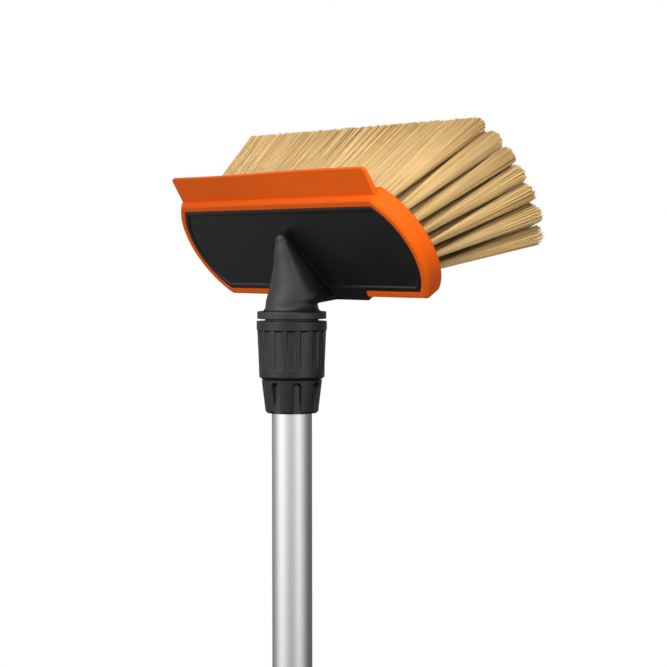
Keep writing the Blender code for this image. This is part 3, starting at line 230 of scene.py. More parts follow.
white_card, tree = finish("matt_white_card")
where = add(tree, "ShaderNodeTexCoord")
far = add(tree, "ShaderNodeVectorMath", {"operation": "LENGTH"}, i0=where.outputs["Object"])
fade = add(tree, "ShaderNodeMapRange", {"interpolation_type": "SMOOTHSTEP"}, Value=far.outputs["Value"],
           From_Min=FLOOR_FADE[0], From_Max=FLOOR_FADE[1])
card = add(tree, "ShaderNodeBsdfDiffuse", Color=linear("#CFCFCD"))
white = add(tree, "ShaderNodeEmission", Color=(1, 1, 1, 1), Strength=1.0)
path = add(tree, "ShaderNodeLightPath")
share = add(tree, "ShaderNodeMath", {"operation": "MULTIPLY"}, i0=fade.outputs[0],
            i1=path.outputs["Is Camera Ray"])
mixed = add(tree, "ShaderNodeMixShader", i0=share.outputs[0], i1=card.outputs[0], i2=white.outputs[0])
add(tree, "ShaderNodeOutputMaterial", Surface=mixed.outputs[0])
points = [(0, 0, FLOOR_LEVEL)]
for step in range(FLATS_STEPS):
    bearing = 2 * math.pi * step / FLATS_STEPS
    points.append((FLOOR_RADIUS * math.cos(bearing), FLOOR_RADIUS * math.sin(bearing), FLOOR_LEVEL))
faces = [(0, 1 + step, 1 + (step + 1) % FLATS_STEPS) for step in range(FLATS_STEPS)]
floor = mesh_object("floor", points, faces, white_card, None)
floor.visible_glossy = False

# POLE
# A 25 mm aluminium tube, drawn and then anodised clear.
# It slips into the coupling above and the valve below.

POLE_RADIUS = 0.0125
POLE_WALL = 0.0012
POLE_FOOT, POLE_TOP = (corner.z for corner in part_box("pole_tube"))
EDGE_BREAK = 0.0003
GAP = 0.0003
ROUND = 96
# A rounded corner takes up no more than this share of either side
CORNER_SHARE = 0.45


def lofted(rings, closed=False):
    """Points and faces of rings joined in turn, closed on itself or capped at both ends."""
    count = len(rings[0])
    points = [point for ring in rings for point in ring]
    faces = []
    for number in range(len(rings) if closed else len(rings) - 1):
        here, there = number * count, (number + 1) % len(rings) * count
        for step in range(count):
            after = (step + 1) % count
            faces.append((here + step, here + after, there + after, there + step))
    if not closed:
        faces.append(tuple(range(count)))
        faces.append(tuple(range(len(points) - count, len(points))))
    return points, faces


def turned(profile, steps=ROUND, carve=None):
    """A closed profile of (radius, height) turned about Z; carve gives the radius left at a turn."""
    rings = []
    for radius, height in profile:
        ring = []
        for step in range(steps):
            turn = 2 * math.pi * step / steps
            left = carve(radius, turn, height) if carve else radius
            ring.append((left * math.cos(turn), left * math.sin(turn), height))
        rings.append(ring)
    return lofted(rings, closed=True)


def softened(outline, radius=EDGE_BREAK, closed=True, steps=3):
    """An outline with its corners rounded, each by its own third number or else by one radius."""
    rounded = []
    for place, (x, y, *own) in enumerate(outline):
        if not closed and place in (0, len(outline) - 1):
            rounded.append((x, y))
            continue
        corner = Vector((x, y))
        back = Vector(outline[place - 1][:2]) - corner
        ahead = Vector(outline[(place + 1) % len(outline)][:2]) - corner
        reach = min(own[0] if own else radius, back.length * CORNER_SHARE, ahead.length * CORNER_SHARE)
        start, end = corner + back.normalized() * reach, corner + ahead.normalized() * reach
        for step in range(steps + 1):
            share = step / steps
            bent = start * (1 - share) ** 2 + corner * 2 * share * (1 - share) + end * share ** 2
            rounded.append(tuple(bent))
    return rounded


# Clear anodised drawn aluminium: a satin glow with faint lines along the tube
aluminium, tree = finish("clear_anodised_drawn_aluminium")
DRAWN_LINE = 0.0007
DRAWN_RUN = 1 / 6
where = add(tree, "ShaderNodeTexCoord").outputs["Object"]
drawn = add(tree, "ShaderNodeVectorMath", {"operation": "MULTIPLY"}, i0=where,
            i1=(1 / DRAWN_LINE, 1 / DRAWN_LINE, 1 / DRAWN_RUN))
lines = add(tree, "ShaderNodeTexNoise", Vector=drawn.outputs[0], Scale=1.0, Detail=3.0).outputs[0]
tint = add(tree, "ShaderNodeMix", {"data_type": "RGBA"}, i0=lines, i6=linear("#DADBDE"),
           i7=linear("#E8E9EA"))
rough = add(tree, "ShaderNodeMapRange", Value=lines, From_Min=0.3, From_Max=0.7, To_Min=0.24, To_Max=0.32)
relief = add(tree, "ShaderNodeBump", Strength=0.5, Distance=0.000015, Height=lines)
shader = add(tree, "ShaderNodeBsdfPrincipled", Base_Color=tint.outputs[2], Metallic=1.0,
             Roughness=rough.outputs[0], Normal=relief.outputs[0])
add(tree, "ShaderNodeOutputMaterial", Surface=shader.outputs[0])

inside = POLE_RADIUS - POLE_WALL
section = [(POLE_RADIUS, POLE_TOP), (POLE_RADIUS, POLE_FOOT), (inside, POLE_FOOT), (inside, POLE_TOP)]
piece = mesh_object("drawn_pole_tube", *turned(softened(section)), aluminium, "pole")
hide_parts("pole_tube")

# FOAM GRIP
# A black foam rubber tube, cut to length and pushed onto the pole's lower end.
# Its skin is closed-cell, so it looks dull and finely pitted.

GRIP_WALL = 0.0045
GRIP_ROUND = 0.0020
grip_low, grip_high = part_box("foam_grip")

# Closed-cell foam rubber: dull black, pitted all over, with greyer rubbed patches
foam, tree = finish("cut_closed_cell_foam")
FOAM_CELL = 0.0006
RUBBED_PATCH = 1 / 45
where = add(tree, "ShaderNodeTexCoord").outputs["Object"]
cells = add(tree, "ShaderNodeTexVoronoi", {"feature": "SMOOTH_F1"}, Vector=where,
            Scale=1 / FOAM_CELL).outputs["Distance"]
rubbed = add(tree, "ShaderNodeTexNoise", Vector=where, Scale=1 / RUBBED_PATCH, Detail=5.0).outputs[0]
tint = add(tree, "ShaderNodeMix", {"data_type": "RGBA"}, i0=rubbed, i6=linear("#18181A"),
           i7=linear("#2C2C2E"))
relief = add(tree, "ShaderNodeBump", Strength=0.9, Distance=0.0002, Height=cells)
rough = add(tree, "ShaderNodeMapRange", Value=rubbed, To_Min=0.95, To_Max=0.78)
shader = add(tree, "ShaderNodeBsdfPrincipled", Base_Color=tint.outputs[2], Roughness=rough.outputs[0],
             IOR=1.45, Normal=relief.outputs[0])
add(tree, "ShaderNodeOutputMaterial", Surface=shader.outputs[0])

inside = POLE_RADIUS + GAP
outside = inside + GRIP_WALL
section = [(outside, grip_high.z), (outside, grip_low.z), (inside, grip_low.z), (inside, grip_high.z)]
piece = mesh_object("foam_hand_grip", *turned(softened(section, GRIP_ROUND, steps=6)), foam, "pole")
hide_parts("foam_grip")

# COUPLING AND ITS SEALS
# The coupling is one moulding of glass-filled nylon: a fluted collar over the pole's end, and above it
# the socket that takes the head's spigot. A split collet, a washer and an O-ring sit inside.

COLLAR_LENGTH = 0.0205
COLLAR_TOP_RADIUS = 0.0188
COLLAR_FOOT_RADIUS = 0.0163
COLLAR_CHAMFER = 0.0010
FLUTES = 8
FLUTE_WIDTH = 0.0050
FLUTE_FLOOR = 0.0152
FLUTE_BELOW_TOP = 0.0016
FLUTE_TURN = math.radians(-22.5)
MOULDED_EDGE = 0.0010
SOCKET_RADIUS = 0.0168
SOCKET_MOUTH = 0.0026
SPIGOT_RADIUS = 0.0136
NOSE_RADIUS = 0.0104
TAIL_LENGTH = 0.0140
WATER_BORE = 0.0060
SEAL_SIDES = 16
FINE_ROUND = 480
ROW_HEIGHT = 0.0003
collar_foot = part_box("coupling_body")[0].z
socket_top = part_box("coupling_body")[1].z
collar_top = collar_foot + COLLAR_LENGTH


def pressed_in(radius, floor, depth_inside):
    """Radius left by a recess with a level floor, where a point lies that far inside its edge."""
    share = min(max(depth_inside / MOULDED_EDGE + 0.5, 0), 1)
    share = share * share * (3 - 2 * share)
    return radius - max(radius - floor, 0) * share


def round_arc(turn, first, count, radius):
    """Distance round the pole from the nearest of evenly spaced features."""
    pitch = 2 * math.pi / count
    return abs((turn - first + pitch / 2) % pitch - pitch / 2) * radius


def fluted(radius, turn, height):
    """The collar's wall with its flutes, round at the top and open at the foot."""
    if radius < FLUTE_FLOOR:
        return radius
    aside = round_arc(turn, FLUTE_TURN, FLUTES, radius)
    crown = collar_top - FLUTE_BELOW_TOP - FLUTE_WIDTH / 2
    return pressed_in(radius, FLUTE_FLOOR, FLUTE_WIDTH / 2 - math.hypot(aside, max(height - crown, 0)))


def rows_between(high, low):
    """Evenly spaced levels from high to low, ends included."""
    count = max(int((high - low) / ROW_HEIGHT), 1)
    return [high + (low - high) * row / count for row in range(count + 1)]


# Moulded glass-filled nylon: charcoal, softly glossy, with a dry mottle where the fibres lie
black_nylon, tree = finish("moulded_glass_filled_nylon")
FIBRE_MOTTLE = 0.0012
FLOW_CLOUD = 1 / 60
where = add(tree, "ShaderNodeTexCoord").outputs["Object"]
mottle = add(tree, "ShaderNodeTexNoise", Vector=where, Scale=1 / FIBRE_MOTTLE, Detail=6.0,
             Roughness=0.7).outputs[0]
cloud = add(tree, "ShaderNodeTexNoise", Vector=where, Scale=1 / FLOW_CLOUD, Detail=3.0).outputs[0]
tint = add(tree, "ShaderNodeMix", {"data_type": "RGBA"}, i0=mottle, i6=linear("#0D0E10"),
           i7=linear("#17181A"))
rough = add(tree, "ShaderNodeMapRange", Value=cloud, From_Min=0.3, From_Max=0.7, To_Min=0.22, To_Max=0.31)
relief = add(tree, "ShaderNodeBump", Strength=0.35, Distance=0.00006, Height=mottle)
shader = add(tree, "ShaderNodeBsdfPrincipled", Base_Color=tint.outputs[2], Roughness=rough.outputs[0],
             IOR=1.49, Normal=relief.outputs[0])
add(tree, "ShaderNodeOutputMaterial", Surface=shader.outputs[0])


def clouded(name, patch, detail, dark, light, roughness, spread=(0.0, 1.0), **shine):
    """A finish whose colour and roughness drift together, in patches of a size in metres."""
    made, tree = finish(name)
    where = add(tree, "ShaderNodeTexCoord").outputs["Object"]
    cloud = add(tree, "ShaderNodeTexNoise", Vector=where, Scale=1 / patch, Detail=detail).outputs[0]
    tint = add(tree, "ShaderNodeMix", {"data_type": "RGBA"}, i0=cloud, i6=linear(dark), i7=linear(light))
    rough = add(tree, "ShaderNodeMapRange", Value=cloud, From_Min=spread[0], From_Max=spread[1],
                To_Min=roughness[0], To_Max=roughness[1])
    shader = add(tree, "ShaderNodeBsdfPrincipled", Base_Color=tint.outputs[2], Roughness=rough.outputs[0],
                 **shine)
    add(tree, "ShaderNodeOutputMaterial", Surface=shader.outputs[0])
    return made


# Nitrile rubber, press-moulded: near black, dull, with a faint bloom
NITRILE_BLOOM = 1 / 220
nitrile = clouded("press_moulded_nitrile", NITRILE_BLOOM, 5.0, "#121213", "#262628", (0.45, 0.70), IOR=1.52)

tail = POLE_RADIUS - POLE_WALL - GAP
pocket_top = POLE_TOP + GAP
tail_foot = pocket_top - TAIL_LENGTH
nose_top = socket_top - SOCKET_MOUTH
washer_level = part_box("socket_washer")[0].z - GAP
section = [(SOCKET_RADIUS, socket_top), (SOCKET_RADIUS, collar_top)]
section += [(COLLAR_TOP_RADIUS - EDGE_BREAK, collar_top)]
for level in rows_between(collar_top - EDGE_BREAK, collar_foot + COLLAR_CHAMFER):
    share = (level - collar_foot) / COLLAR_LENGTH
    section.append((COLLAR_FOOT_RADIUS + (COLLAR_TOP_RADIUS - COLLAR_FOOT_RADIUS) * share, level))
section += [(COLLAR_FOOT_RADIUS - COLLAR_CHAMFER, collar_foot), (POLE_RADIUS + GAP, collar_foot),
            (POLE_RADIUS + GAP, pocket_top), (tail, pocket_top), (tail, tail_foot), (WATER_BORE, tail_foot),
            (WATER_BORE, washer_level), (NOSE_RADIUS + GAP, washer_level), (NOSE_RADIUS + GAP, nose_top),
            (SPIGOT_RADIUS + GAP, nose_top), (SPIGOT_RADIUS + GAP, socket_top)]
piece = mesh_object("fluted_coupling", *turned(section, FINE_ROUND, fluted), black_nylon, "pole", sharp=50)
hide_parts("coupling_body")


def refinish(skin, *nodes):
    """Give solids whose shape is right a better material."""
    for node in nodes:
        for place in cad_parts[node].material_slots:
            place.material = skin


def seal(name, node, body):
    """A nitrile ring, round in section, where the solid one lies."""
    low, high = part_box(node)
    thick = (high.z - low.z) / 2
    section = []
    for step in range(SEAL_SIDES):
        turn = 2 * math.pi * step / SEAL_SIDES
        section.append((high.x - thick + thick * math.cos(turn), low.z + thick + thick * math.sin(turn)))
    ring = mesh_object(name, *turned(section), nitrile, body)
    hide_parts(node)


seal("tail_seal", "tail_o_ring", "pole")
refinish(nitrile, "socket_washer")
refinish(black_nylon, "collet_ring")

# LOCKING SLEEVE
# A nylon nut that screws over the socket and squeezes the collet onto the spigot.
# Its sixteen grip recesses have a level floor, so they fade out towards the narrow foot.

SLEEVE_LENGTH = 0.0362
RIM_RADIUS = 0.02185
RIM_LENGTH = 0.0054
RIM_ROUND = 0.0010
RIM_STEP = 0.0003
SLEEVE_FOOT_RADIUS = 0.0202
SLEEVE_CHAMFER = 0.0016
RECESSES = 16
RECESS_WIDTH = 0.0046
RECESS_FLOOR = 0.0202
RECESS_LENGTH = 0.0236
RECESS_TURN = math.radians(-33.75)
COLLET_WALL = 0.0017
COLLET_FLARE = 0.0011
SPIGOT_NECK_RADIUS = 0.0167
sleeve_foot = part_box("locking_sleeve")[0].z
rim_foot = sleeve_foot + SLEEVE_LENGTH - RIM_LENGTH


def gripped(radius, turn, height):
    """The sleeve's wall with its grip recesses."""
    if radius < SLEEVE_FOOT_RADIUS or height > rim_foot:
        return radius
    top = rim_foot - 2 * RIM_STEP
    aside = RECESS_WIDTH / 2 - round_arc(turn, RECESS_TURN, RECESSES, radius)
    return pressed_in(radius, RECESS_FLOOR, min(aside, top - height, height - top + RECESS_LENGTH))


sleeve_top = sleeve_foot + SLEEVE_LENGTH
wall = RIM_RADIUS - RIM_STEP
section = softened([(RIM_RADIUS - RIM_ROUND - RIM_STEP, sleeve_top), (RIM_RADIUS, sleeve_top),
                    (RIM_RADIUS, rim_foot)], RIM_ROUND, closed=False, steps=5)
for level in rows_between(rim_foot - RIM_STEP, sleeve_foot + SLEEVE_CHAMFER):
    share = (level - sleeve_foot) / (rim_foot - sleeve_foot)
    section.append((SLEEVE_FOOT_RADIUS + (wall - SLEEVE_FOOT_RADIUS) * share, level))
collet = SPIGOT_RADIUS + 2 * GAP + COLLET_WALL
collet_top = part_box("collet_ring")[1].z + GAP
section += [(SLEEVE_FOOT_RADIUS - SLEEVE_CHAMFER, sleeve_foot), (SOCKET_RADIUS + GAP, sleeve_foot),
            (SOCKET_RADIUS + GAP, socket_top), (collet + COLLET_FLARE, socket_top), (collet, collet_top),
            (SPIGOT_NECK_RADIUS + GAP, collet_top), (SPIGOT_NECK_RADIUS + GAP, sleeve_top)]
piece = mesh_object("ribbed_locking_sleeve", *turned(section, FINE_ROUND, gripped), black_nylon, "sleeve",
                    sharp=50)
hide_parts("locking_sleeve")

# BACK SHELL
# One black ABS moulding: the back panel with its shallow recess, the neck that the water runs up,
# the flange and spigot below it, and the tab that laps over the lower rim.

HEAD_TILT = math.radians(35)
HEAD_PLACE = Vector((0, 0.0031, 0.4959))
HEAD_HEIGHT = 0.0606
HEAD_FLAT_LENGTH = 0.2130
HEAD_BOW = 0.0149
ARC_RADIUS = (HEAD_HEIGHT ** 2 / 4 + HEAD_BOW ** 2) / (2 * HEAD_BOW)
ARC_CENTRE = HEAD_FLAT_LENGTH / 2 + HEAD_BOW - ARC_RADIUS
ARC_STEPS = 40
SHELL_DEPTH = 0.0120
SHELL_WALL = 0.0020
FACE_WALL = 0.0022
FACE_RECESS = 0.0007
FACE_BAND = 0.0032
FACE_SLOPE = 0.0004
FACE_INSET = 0.0020
PANEL_ROUND = 0.0009
BAND_ROUND = 0.0005
LEDGE_LEVEL = 0.0050
LEDGE_WIDTH = 0.0035
BUMPER_WALL = 0.0059
head = Matrix.Translation(HEAD_PLACE) @ Matrix.Rotation(HEAD_TILT - math.pi / 2, 4, "X")


def head_outline(grow, depth):
    """Ring round the head at a depth: straight along both long sides, bowed at both ends."""
    radius = ARC_RADIUS + grow
    reach = math.asin((HEAD_HEIGHT / 2 + grow) / radius)
    right = []
    for step in range(ARC_STEPS + 1):
        turn = -reach + 2 * reach * step / ARC_STEPS
        right.append((ARC_CENTRE + radius * math.cos(turn), radius * math.sin(turn)))
    return [head @ Vector((x, y, depth)) for x, y in right + [(-x, -y) for x, y in right]]


# Moulded ABS from a finely spark-eroded tool: near black, satin, with a soft haze from handling
black_abs, tree = finish("moulded_black_abs")
TOOL_GRAIN = 0.0005
HAZE_PATCH = 1 / 38
where = add(tree, "ShaderNodeTexCoord").outputs["Object"]
grain = add(tree, "ShaderNodeTexNoise", Vector=where, Scale=1 / TOOL_GRAIN, Detail=3.0).outputs[0]
haze = add(tree, "ShaderNodeTexNoise", Vector=where, Scale=1 / HAZE_PATCH, Detail=6.0,
           Roughness=0.6).outputs[0]
tint = add(tree, "ShaderNodeMix", {"data_type": "RGBA"}, i0=haze, i6=linear("#0F0F11"),
           i7=linear("#1A1A1D"))
rough = add(tree, "ShaderNodeMapRange", Value=haze, From_Min=0.3, From_Max=0.7, To_Min=0.28, To_Max=0.38)
relief = add(tree, "ShaderNodeBump", Strength=0.18, Distance=0.00004, Height=grain)
shader = add(tree, "ShaderNodeBsdfPrincipled", Base_Color=tint.outputs[2], Roughness=rough.outputs[0],
             IOR=1.58, Normal=relief.outputs[0])
add(tree, "ShaderNodeOutputMaterial", Surface=shader.outputs[0])

band = -FACE_BAND
inner = -SHELL_WALL - LEDGE_WIDTH
section = [(band - FACE_INSET, FACE_RECESS), (band - FACE_SLOPE, FACE_RECESS),
           (band + FACE_SLOPE, 0, BAND_ROUND), (0, 0, PANEL_ROUND), (0, SHELL_DEPTH),
           (-SHELL_WALL, SHELL_DEPTH), (-SHELL_WALL, LEDGE_LEVEL), (inner, LEDGE_LEVEL), (inner, FACE_WALL),
           (inner - FACE_INSET, FACE_WALL)]
rings = [head_outline(grow, depth) for grow, depth in softened(section, closed=False)]
panel = mesh_object("back_panel", *lofted(rings), black_abs, "head")
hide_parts("back_shell")

FLANGE_FOOT = 0.4534
FLANGE_TOP = 0.4581
FLANGE_RADIUS = 0.0215
FLANGE_ROUND = 0.0013
FLANGE_FLAT = 0.0010
FLANGE_UNDER_ROUND = 0.0007
FILLET_STEPS = 8
FILLET_LIP = 0.0001
NECK_FOOT = 0.4614
NECK_FOOT_RADIUS = 0.0163
NECK_FOOT_LAP = 0.0008
NECK_BASE = 0.4575
# Rise in mm, and the crease's half width in metres, where the flanks start from the round foot
FOOT_RISE = 4.7
FOOT_CREASE = 0.0154
FOOT_EASE = 1.5
UNDERCUT = 0.0055
# Rise above the base, then the middle, the radius and the crease's half width there, all in mm
NECK_SECTIONS = [(7.8, 1.6, 17.2, 15.0), (8.9, 2.2, 17.4, 13.6), (11.0, 3.1, 17.6, 12.0),
                 (15.6, 4.3, 17.3, 10.6), (22.5, 2.6, 14.6, 8.8), (29.9, -0.2, 11.1, 6.1),
                 (38.5, -4.0, 7.5, 2.6), (43.0, -5.4, 5.4, 1.0), (46.0, -6.5, 4.35, 0.8),
                 (48.0, -6.5, 2.95, 0.6), (49.3, -5.75, 1.25, 0.3), (49.8, -5.0, 0.2, 0.1)]
TAB_RISE = NECK_SECTIONS[0][0]
NECK_SINK = 0.7
NECK_RINGS = 90
NECK_CROWDING = 1.6
SPIGOT_STEPS = 96
SPIGOT_NECK_LENGTH = 0.0045
SPIGOT_LENGTH = 0.0160
SPIGOT_ROUND = 0.0004
NOSE_LENGTH = 0.0146
NOSE_CHAMFER = 0.0008
NOSE_CHAMFER_RISE = 0.0010
NOSE_BORE_DEPTH = 0.0100
SEAL_THICKNESS = 0.0018
SEAL_GROOVE = 0.0024


def neck_size(column, rise):
    """One column of the neck's sections at a rise in mm, on a smooth curve through them, in metres."""
    levels, sizes = zip(*[(row[0], row[column]) for row in NECK_SECTIONS])
    slopes = np.gradient(sizes, levels)
    place = min(max(int(np.searchsorted(levels, rise)) - 1, 0), len(levels) - 2)
    span = levels[place + 1] - levels[place]
    share = (rise - levels[place]) / span
    start = sizes[place] * (1 + 2 * share) + slopes[place] * span * share
    end = sizes[place + 1] * (3 - 2 * share) - slopes[place + 1] * span * (1 - share)
    return (start * (1 - share) ** 2 + end * share ** 2) / 1000


def neck_ring(rise):
    """Section of the neck at a rise in mm: part of a circle, drawn out to the panel on both sides."""
    middle, radius, crease = (neck_size(column, max(rise, TAB_RISE)) for column in (1, 2, 3))
    level = NECK_BASE + rise / 1000
    panel = HEAD_PLACE.y - (level - HEAD_PLACE.z) * math.tan(HEAD_TILT)
    if rise < TAB_RISE:
        # Below the tab the flanks draw back in to the round foot
        lag = max((rise - FOOT_RISE) / (TAB_RISE - FOOT_RISE), 0) ** FOOT_EASE
        middle *= lag
        radius = NECK_FOOT_RADIUS + (radius - NECK_FOOT_RADIUS) * lag
        crease = FOOT_CREASE + (crease - FOOT_CREASE) * lag
        panel = UNDERCUT + (panel - UNDERCUT) * lag
    reach = math.hypot(crease, panel - middle)
    start = math.atan2(panel - middle, crease) - math.acos(min(radius / reach, 1))
    # Two more points on each side run from the crease into the panel's wall
    last = SPIGOT_STEPS - 5
    turns = [start - (math.pi + 2 * start) * step / last for step in range(last + 1)]
    inward = Vector((0, math.cos(HEAD_TILT), math.sin(HEAD_TILT))) * FACE_WALL * NECK_SINK
    ring = [Vector((crease, panel, level)) + inward, Vector((crease, panel, level))]
    ring += [Vector((radius * math.cos(turn), middle + radius * math.sin(turn), level)) for turn in turns]
    return ring + [Vector((-crease, panel, level)), Vector((-crease, panel, level)) + inward]


def plain_ring(radius, level):
    """Round section of the flange and the spigot, its points in step with the neck's."""
    turns = [math.pi / 2 - 2 * math.pi * (step + 0.5) / SPIGOT_STEPS for step in range(SPIGOT_STEPS)]
    return [Vector((radius * math.cos(turn), radius * math.sin(turn), level)) for turn in turns]


neck_high = NECK_SECTIONS[-1][0]
rings = []
for step in range(NECK_RINGS + 1):
    # The rings crowd together towards the blunt top
    rings.append(neck_ring(neck_high + (FOOT_RISE - neck_high) * (step / NECK_RINGS) ** NECK_CROWDING))
spigot_top = FLANGE_FOOT - SPIGOT_NECK_LENGTH
nose_root = spigot_top - SPIGOT_LENGTH
nose_foot = nose_root - NOSE_LENGTH
profile = [(NECK_FOOT_RADIUS, NECK_FOOT + NECK_FOOT_LAP), (NECK_FOOT_RADIUS + FILLET_LIP, NECK_FOOT)]
flat_edge = FLANGE_RADIUS - FLANGE_ROUND - FLANGE_FLAT
for step in range(1, FILLET_STEPS):
    turn = math.pi / 2 * step / FILLET_STEPS
    profile.append((flat_edge - (flat_edge - FILLET_LIP - NECK_FOOT_RADIUS) * math.cos(turn),
                    NECK_FOOT - (NECK_FOOT - FLANGE_TOP) * math.sin(turn)))
profile += softened([(flat_edge, FLANGE_TOP), (FLANGE_RADIUS, FLANGE_TOP, FLANGE_ROUND),
                     (FLANGE_RADIUS, FLANGE_FOOT), (SPIGOT_NECK_RADIUS + FLANGE_FLAT, FLANGE_FOOT)],
                    FLANGE_UNDER_ROUND, closed=False, steps=5)
profile += softened([(SPIGOT_NECK_RADIUS, FLANGE_FOOT), (SPIGOT_NECK_RADIUS, spigot_top),
                     (SPIGOT_RADIUS, spigot_top), (SPIGOT_RADIUS, nose_root), (NOSE_RADIUS, nose_root)],
                    SPIGOT_ROUND, closed=False)
groove_floor = NOSE_RADIUS - SEAL_THICKNESS
for number in (1, 2):
    level = sum(corner.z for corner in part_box(f"spigot_o_ring_{number}")) / 2
    profile += [(NOSE_RADIUS, level + SEAL_GROOVE / 2), (groove_floor, level + SEAL_GROOVE / 2),
                (groove_floor, level - SEAL_GROOVE / 2), (NOSE_RADIUS, level - SEAL_GROOVE / 2)]
profile += softened([(NOSE_RADIUS, nose_foot + NOSE_CHAMFER_RISE), (NOSE_RADIUS - NOSE_CHAMFER, nose_foot),
                     (WATER_BORE, nose_foot), (WATER_BORE, nose_foot + NOSE_BORE_DEPTH)], closed=False)
rings += [plain_ring(radius, level) for radius, level in profile]
neck = mesh_object("water_neck", *lofted(rings), black_abs, "head", sharp=28)
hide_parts("back_shell")

TAB_TOP_HALF = 0.0530
TAB_FOOT_HALF = 0.0490
TAB_LAP = 0.0025
TAB_PROUD = 0.0012
TAB_TOP = HEAD_HEIGHT / 2 - TAB_LAP
TAB_FOOT = HEAD_HEIGHT / 2 + BUMPER_WALL + TAB_PROUD
TAB_BACK = -0.0002
TAB_DEPTH = 0.0110
TAB_LIP = 0.0009
TAB_ROUND = 0.00035
lip = TAB_FOOT - TAB_LIP
plate = [(TAB_TOP, TAB_BACK), (TAB_FOOT, TAB_BACK), (TAB_FOOT, TAB_DEPTH), (lip, TAB_DEPTH),
         (lip, FACE_WALL), (TAB_TOP, FACE_WALL)]
rings = []
for side in (-1, 1):
    ring = []
    for v, n in plate:
        share = (v - TAB_TOP) / (TAB_FOOT - TAB_TOP)
        ring.append(head @ Vector((side * (TAB_TOP_HALF + (TAB_FOOT_HALF - TAB_TOP_HALF) * share), v, n)))
    rings.append(ring)
tab = mesh_object("lower_tab", *lofted(rings), black_abs, "head", edge=TAB_ROUND)
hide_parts("back_shell")

WEB_HALF = 0.0147
WEB_DEPTH = 0.0090
WEB_INSET = 0.0008
WEB_SHORT = 0.0004
WEB_EASE = 1.5
WEB_SIDE_STEPS = 8
WEB_FRONT_STEPS = 32
WEB_RINGS = 14
count = 2 * WEB_SIDE_STEPS + WEB_FRONT_STEPS
foot = NECK_FOOT_RADIUS - WEB_INSET
rings = []
for row in range(WEB_RINGS + 1):
    climb = row / WEB_RINGS
    lag = climb ** WEB_EASE
    ring = []
    for step in range(count + 1):
        turn = math.pi * step / count
        start = Vector((foot * math.cos(turn), foot * math.sin(turn), NECK_FOOT))
        if step < WEB_SIDE_STEPS:
            spot = (WEB_HALF, WEB_DEPTH * step / WEB_SIDE_STEPS)
        elif step <= WEB_SIDE_STEPS + WEB_FRONT_STEPS:
            spot = (WEB_HALF * (1 - 2 * (step - WEB_SIDE_STEPS) / WEB_FRONT_STEPS), WEB_DEPTH)
        else:
            spot = (-WEB_HALF, WEB_DEPTH * (count - step) / WEB_SIDE_STEPS)
        end = head @ Vector((spot[0], TAB_FOOT - WEB_SHORT, spot[1]))
        ring.append(Vector((start.x + (end.x - start.x) * lag, start.y + (end.y - start.y) * lag,
                            start.z + (end.z - start.z) * climb)))
    rings.append(ring)
web = mesh_object("neck_web", *lofted(rings), black_abs, "head")
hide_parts("back_shell")

for number in (1, 2):
    seal(f"spigot_seal_{number}", f"spigot_o_ring_{number}", "head")

# RIM BUMPER AND SQUEEGEE BLADE
# The bumper is one ring of orange rubber stretched round the shell, so that the head can't scratch glass.
# The blade is an extruded strip of the same rubber, standing along the bumper's top.

BUMPER_BACK = 0.0002
BUMPER_FRONT = 0.0004
BUMPER_BEVEL = 0.0021
BUMPER_BEVEL_DEPTH = 0.0019
BLADE_HALF = 0.1100
BLADE_HEIGHT = 0.0168
BLADE_ROOT = 0.0025
BLADE_BACK = 0.0039
BLADE_THICKNESS = 0.0036
BLADE_TIP = 0.0020
BLADE_CORNER = 0.0024
BLADE_STATIONS = 90
BLADE_BOW = 0.0007
BLADE_WAVE = 3.2
BLADE_SLANT = 0.6

# Orange thermoplastic rubber, moulded: saturated and dull, with a fine grain and a dusty bloom
orange_rubber, tree = finish("moulded_orange_rubber")
RUBBER_MOTTLE = 0.0016
BLOOM_PATCH = 1 / 26
where = add(tree, "ShaderNodeTexCoord").outputs["Object"]
grain = add(tree, "ShaderNodeTexNoise", Vector=where, Scale=1 / RUBBER_MOTTLE, Detail=5.0).outputs[0]
bloom = add(tree, "ShaderNodeTexNoise", Vector=where, Scale=1 / BLOOM_PATCH, Detail=5.0,
            Roughness=0.62).outputs[0]
tint = add(tree, "ShaderNodeMix", {"data_type": "RGBA"}, i0=bloom, i6=linear("#DA5300"),
           i7=linear("#E66100"))
rough = add(tree, "ShaderNodeMapRange", Value=bloom, From_Min=0.3, From_Max=0.7, To_Min=0.40, To_Max=0.54)
relief = add(tree, "ShaderNodeBump", Strength=0.25, Distance=0.00008, Height=grain)
shader = add(tree, "ShaderNodeBsdfPrincipled", Base_Color=tint.outputs[2], Roughness=rough.outputs[0],
             IOR=1.45, Specular_IOR_Level=0.18, Normal=relief.outputs[0])
shader.inputs["Subsurface Weight"].default_value = 0.06
shader.inputs["Subsurface Radius"].default_value = (0.0015, 0.0005, 0.0002)
shader.inputs["Subsurface Scale"].default_value = 1.0
add(tree, "ShaderNodeOutputMaterial", Surface=shader.outputs[0])


def cut_away(piece, points, faces):
    """Cut a closed shape out of a piece's mesh."""
    skin = piece.data.materials[0]
    cutter = mesh_object("cutter", points, faces, skin, None)
    cut = piece.modifiers.new("cut", "BOOLEAN")
    cut.object = cutter
    piece.modifiers.move(len(piece.modifiers) - 1, 0)
    shading = piece.modifiers["even_shading"]
    shading.show_viewport = False
    bpy.context.view_layer.update()
    mesh = bpy.data.meshes.new_from_object(piece.evaluated_get(bpy.context.evaluated_depsgraph_get()))
    piece.modifiers.remove(cut)
    shading.show_viewport = True
    piece.data = mesh
    mesh.set_sharp_from_angle(angle=math.radians(SHARP_ANGLE))
    bpy.data.objects.remove(cutter)


front = SHELL_DEPTH + BUMPER_FRONT
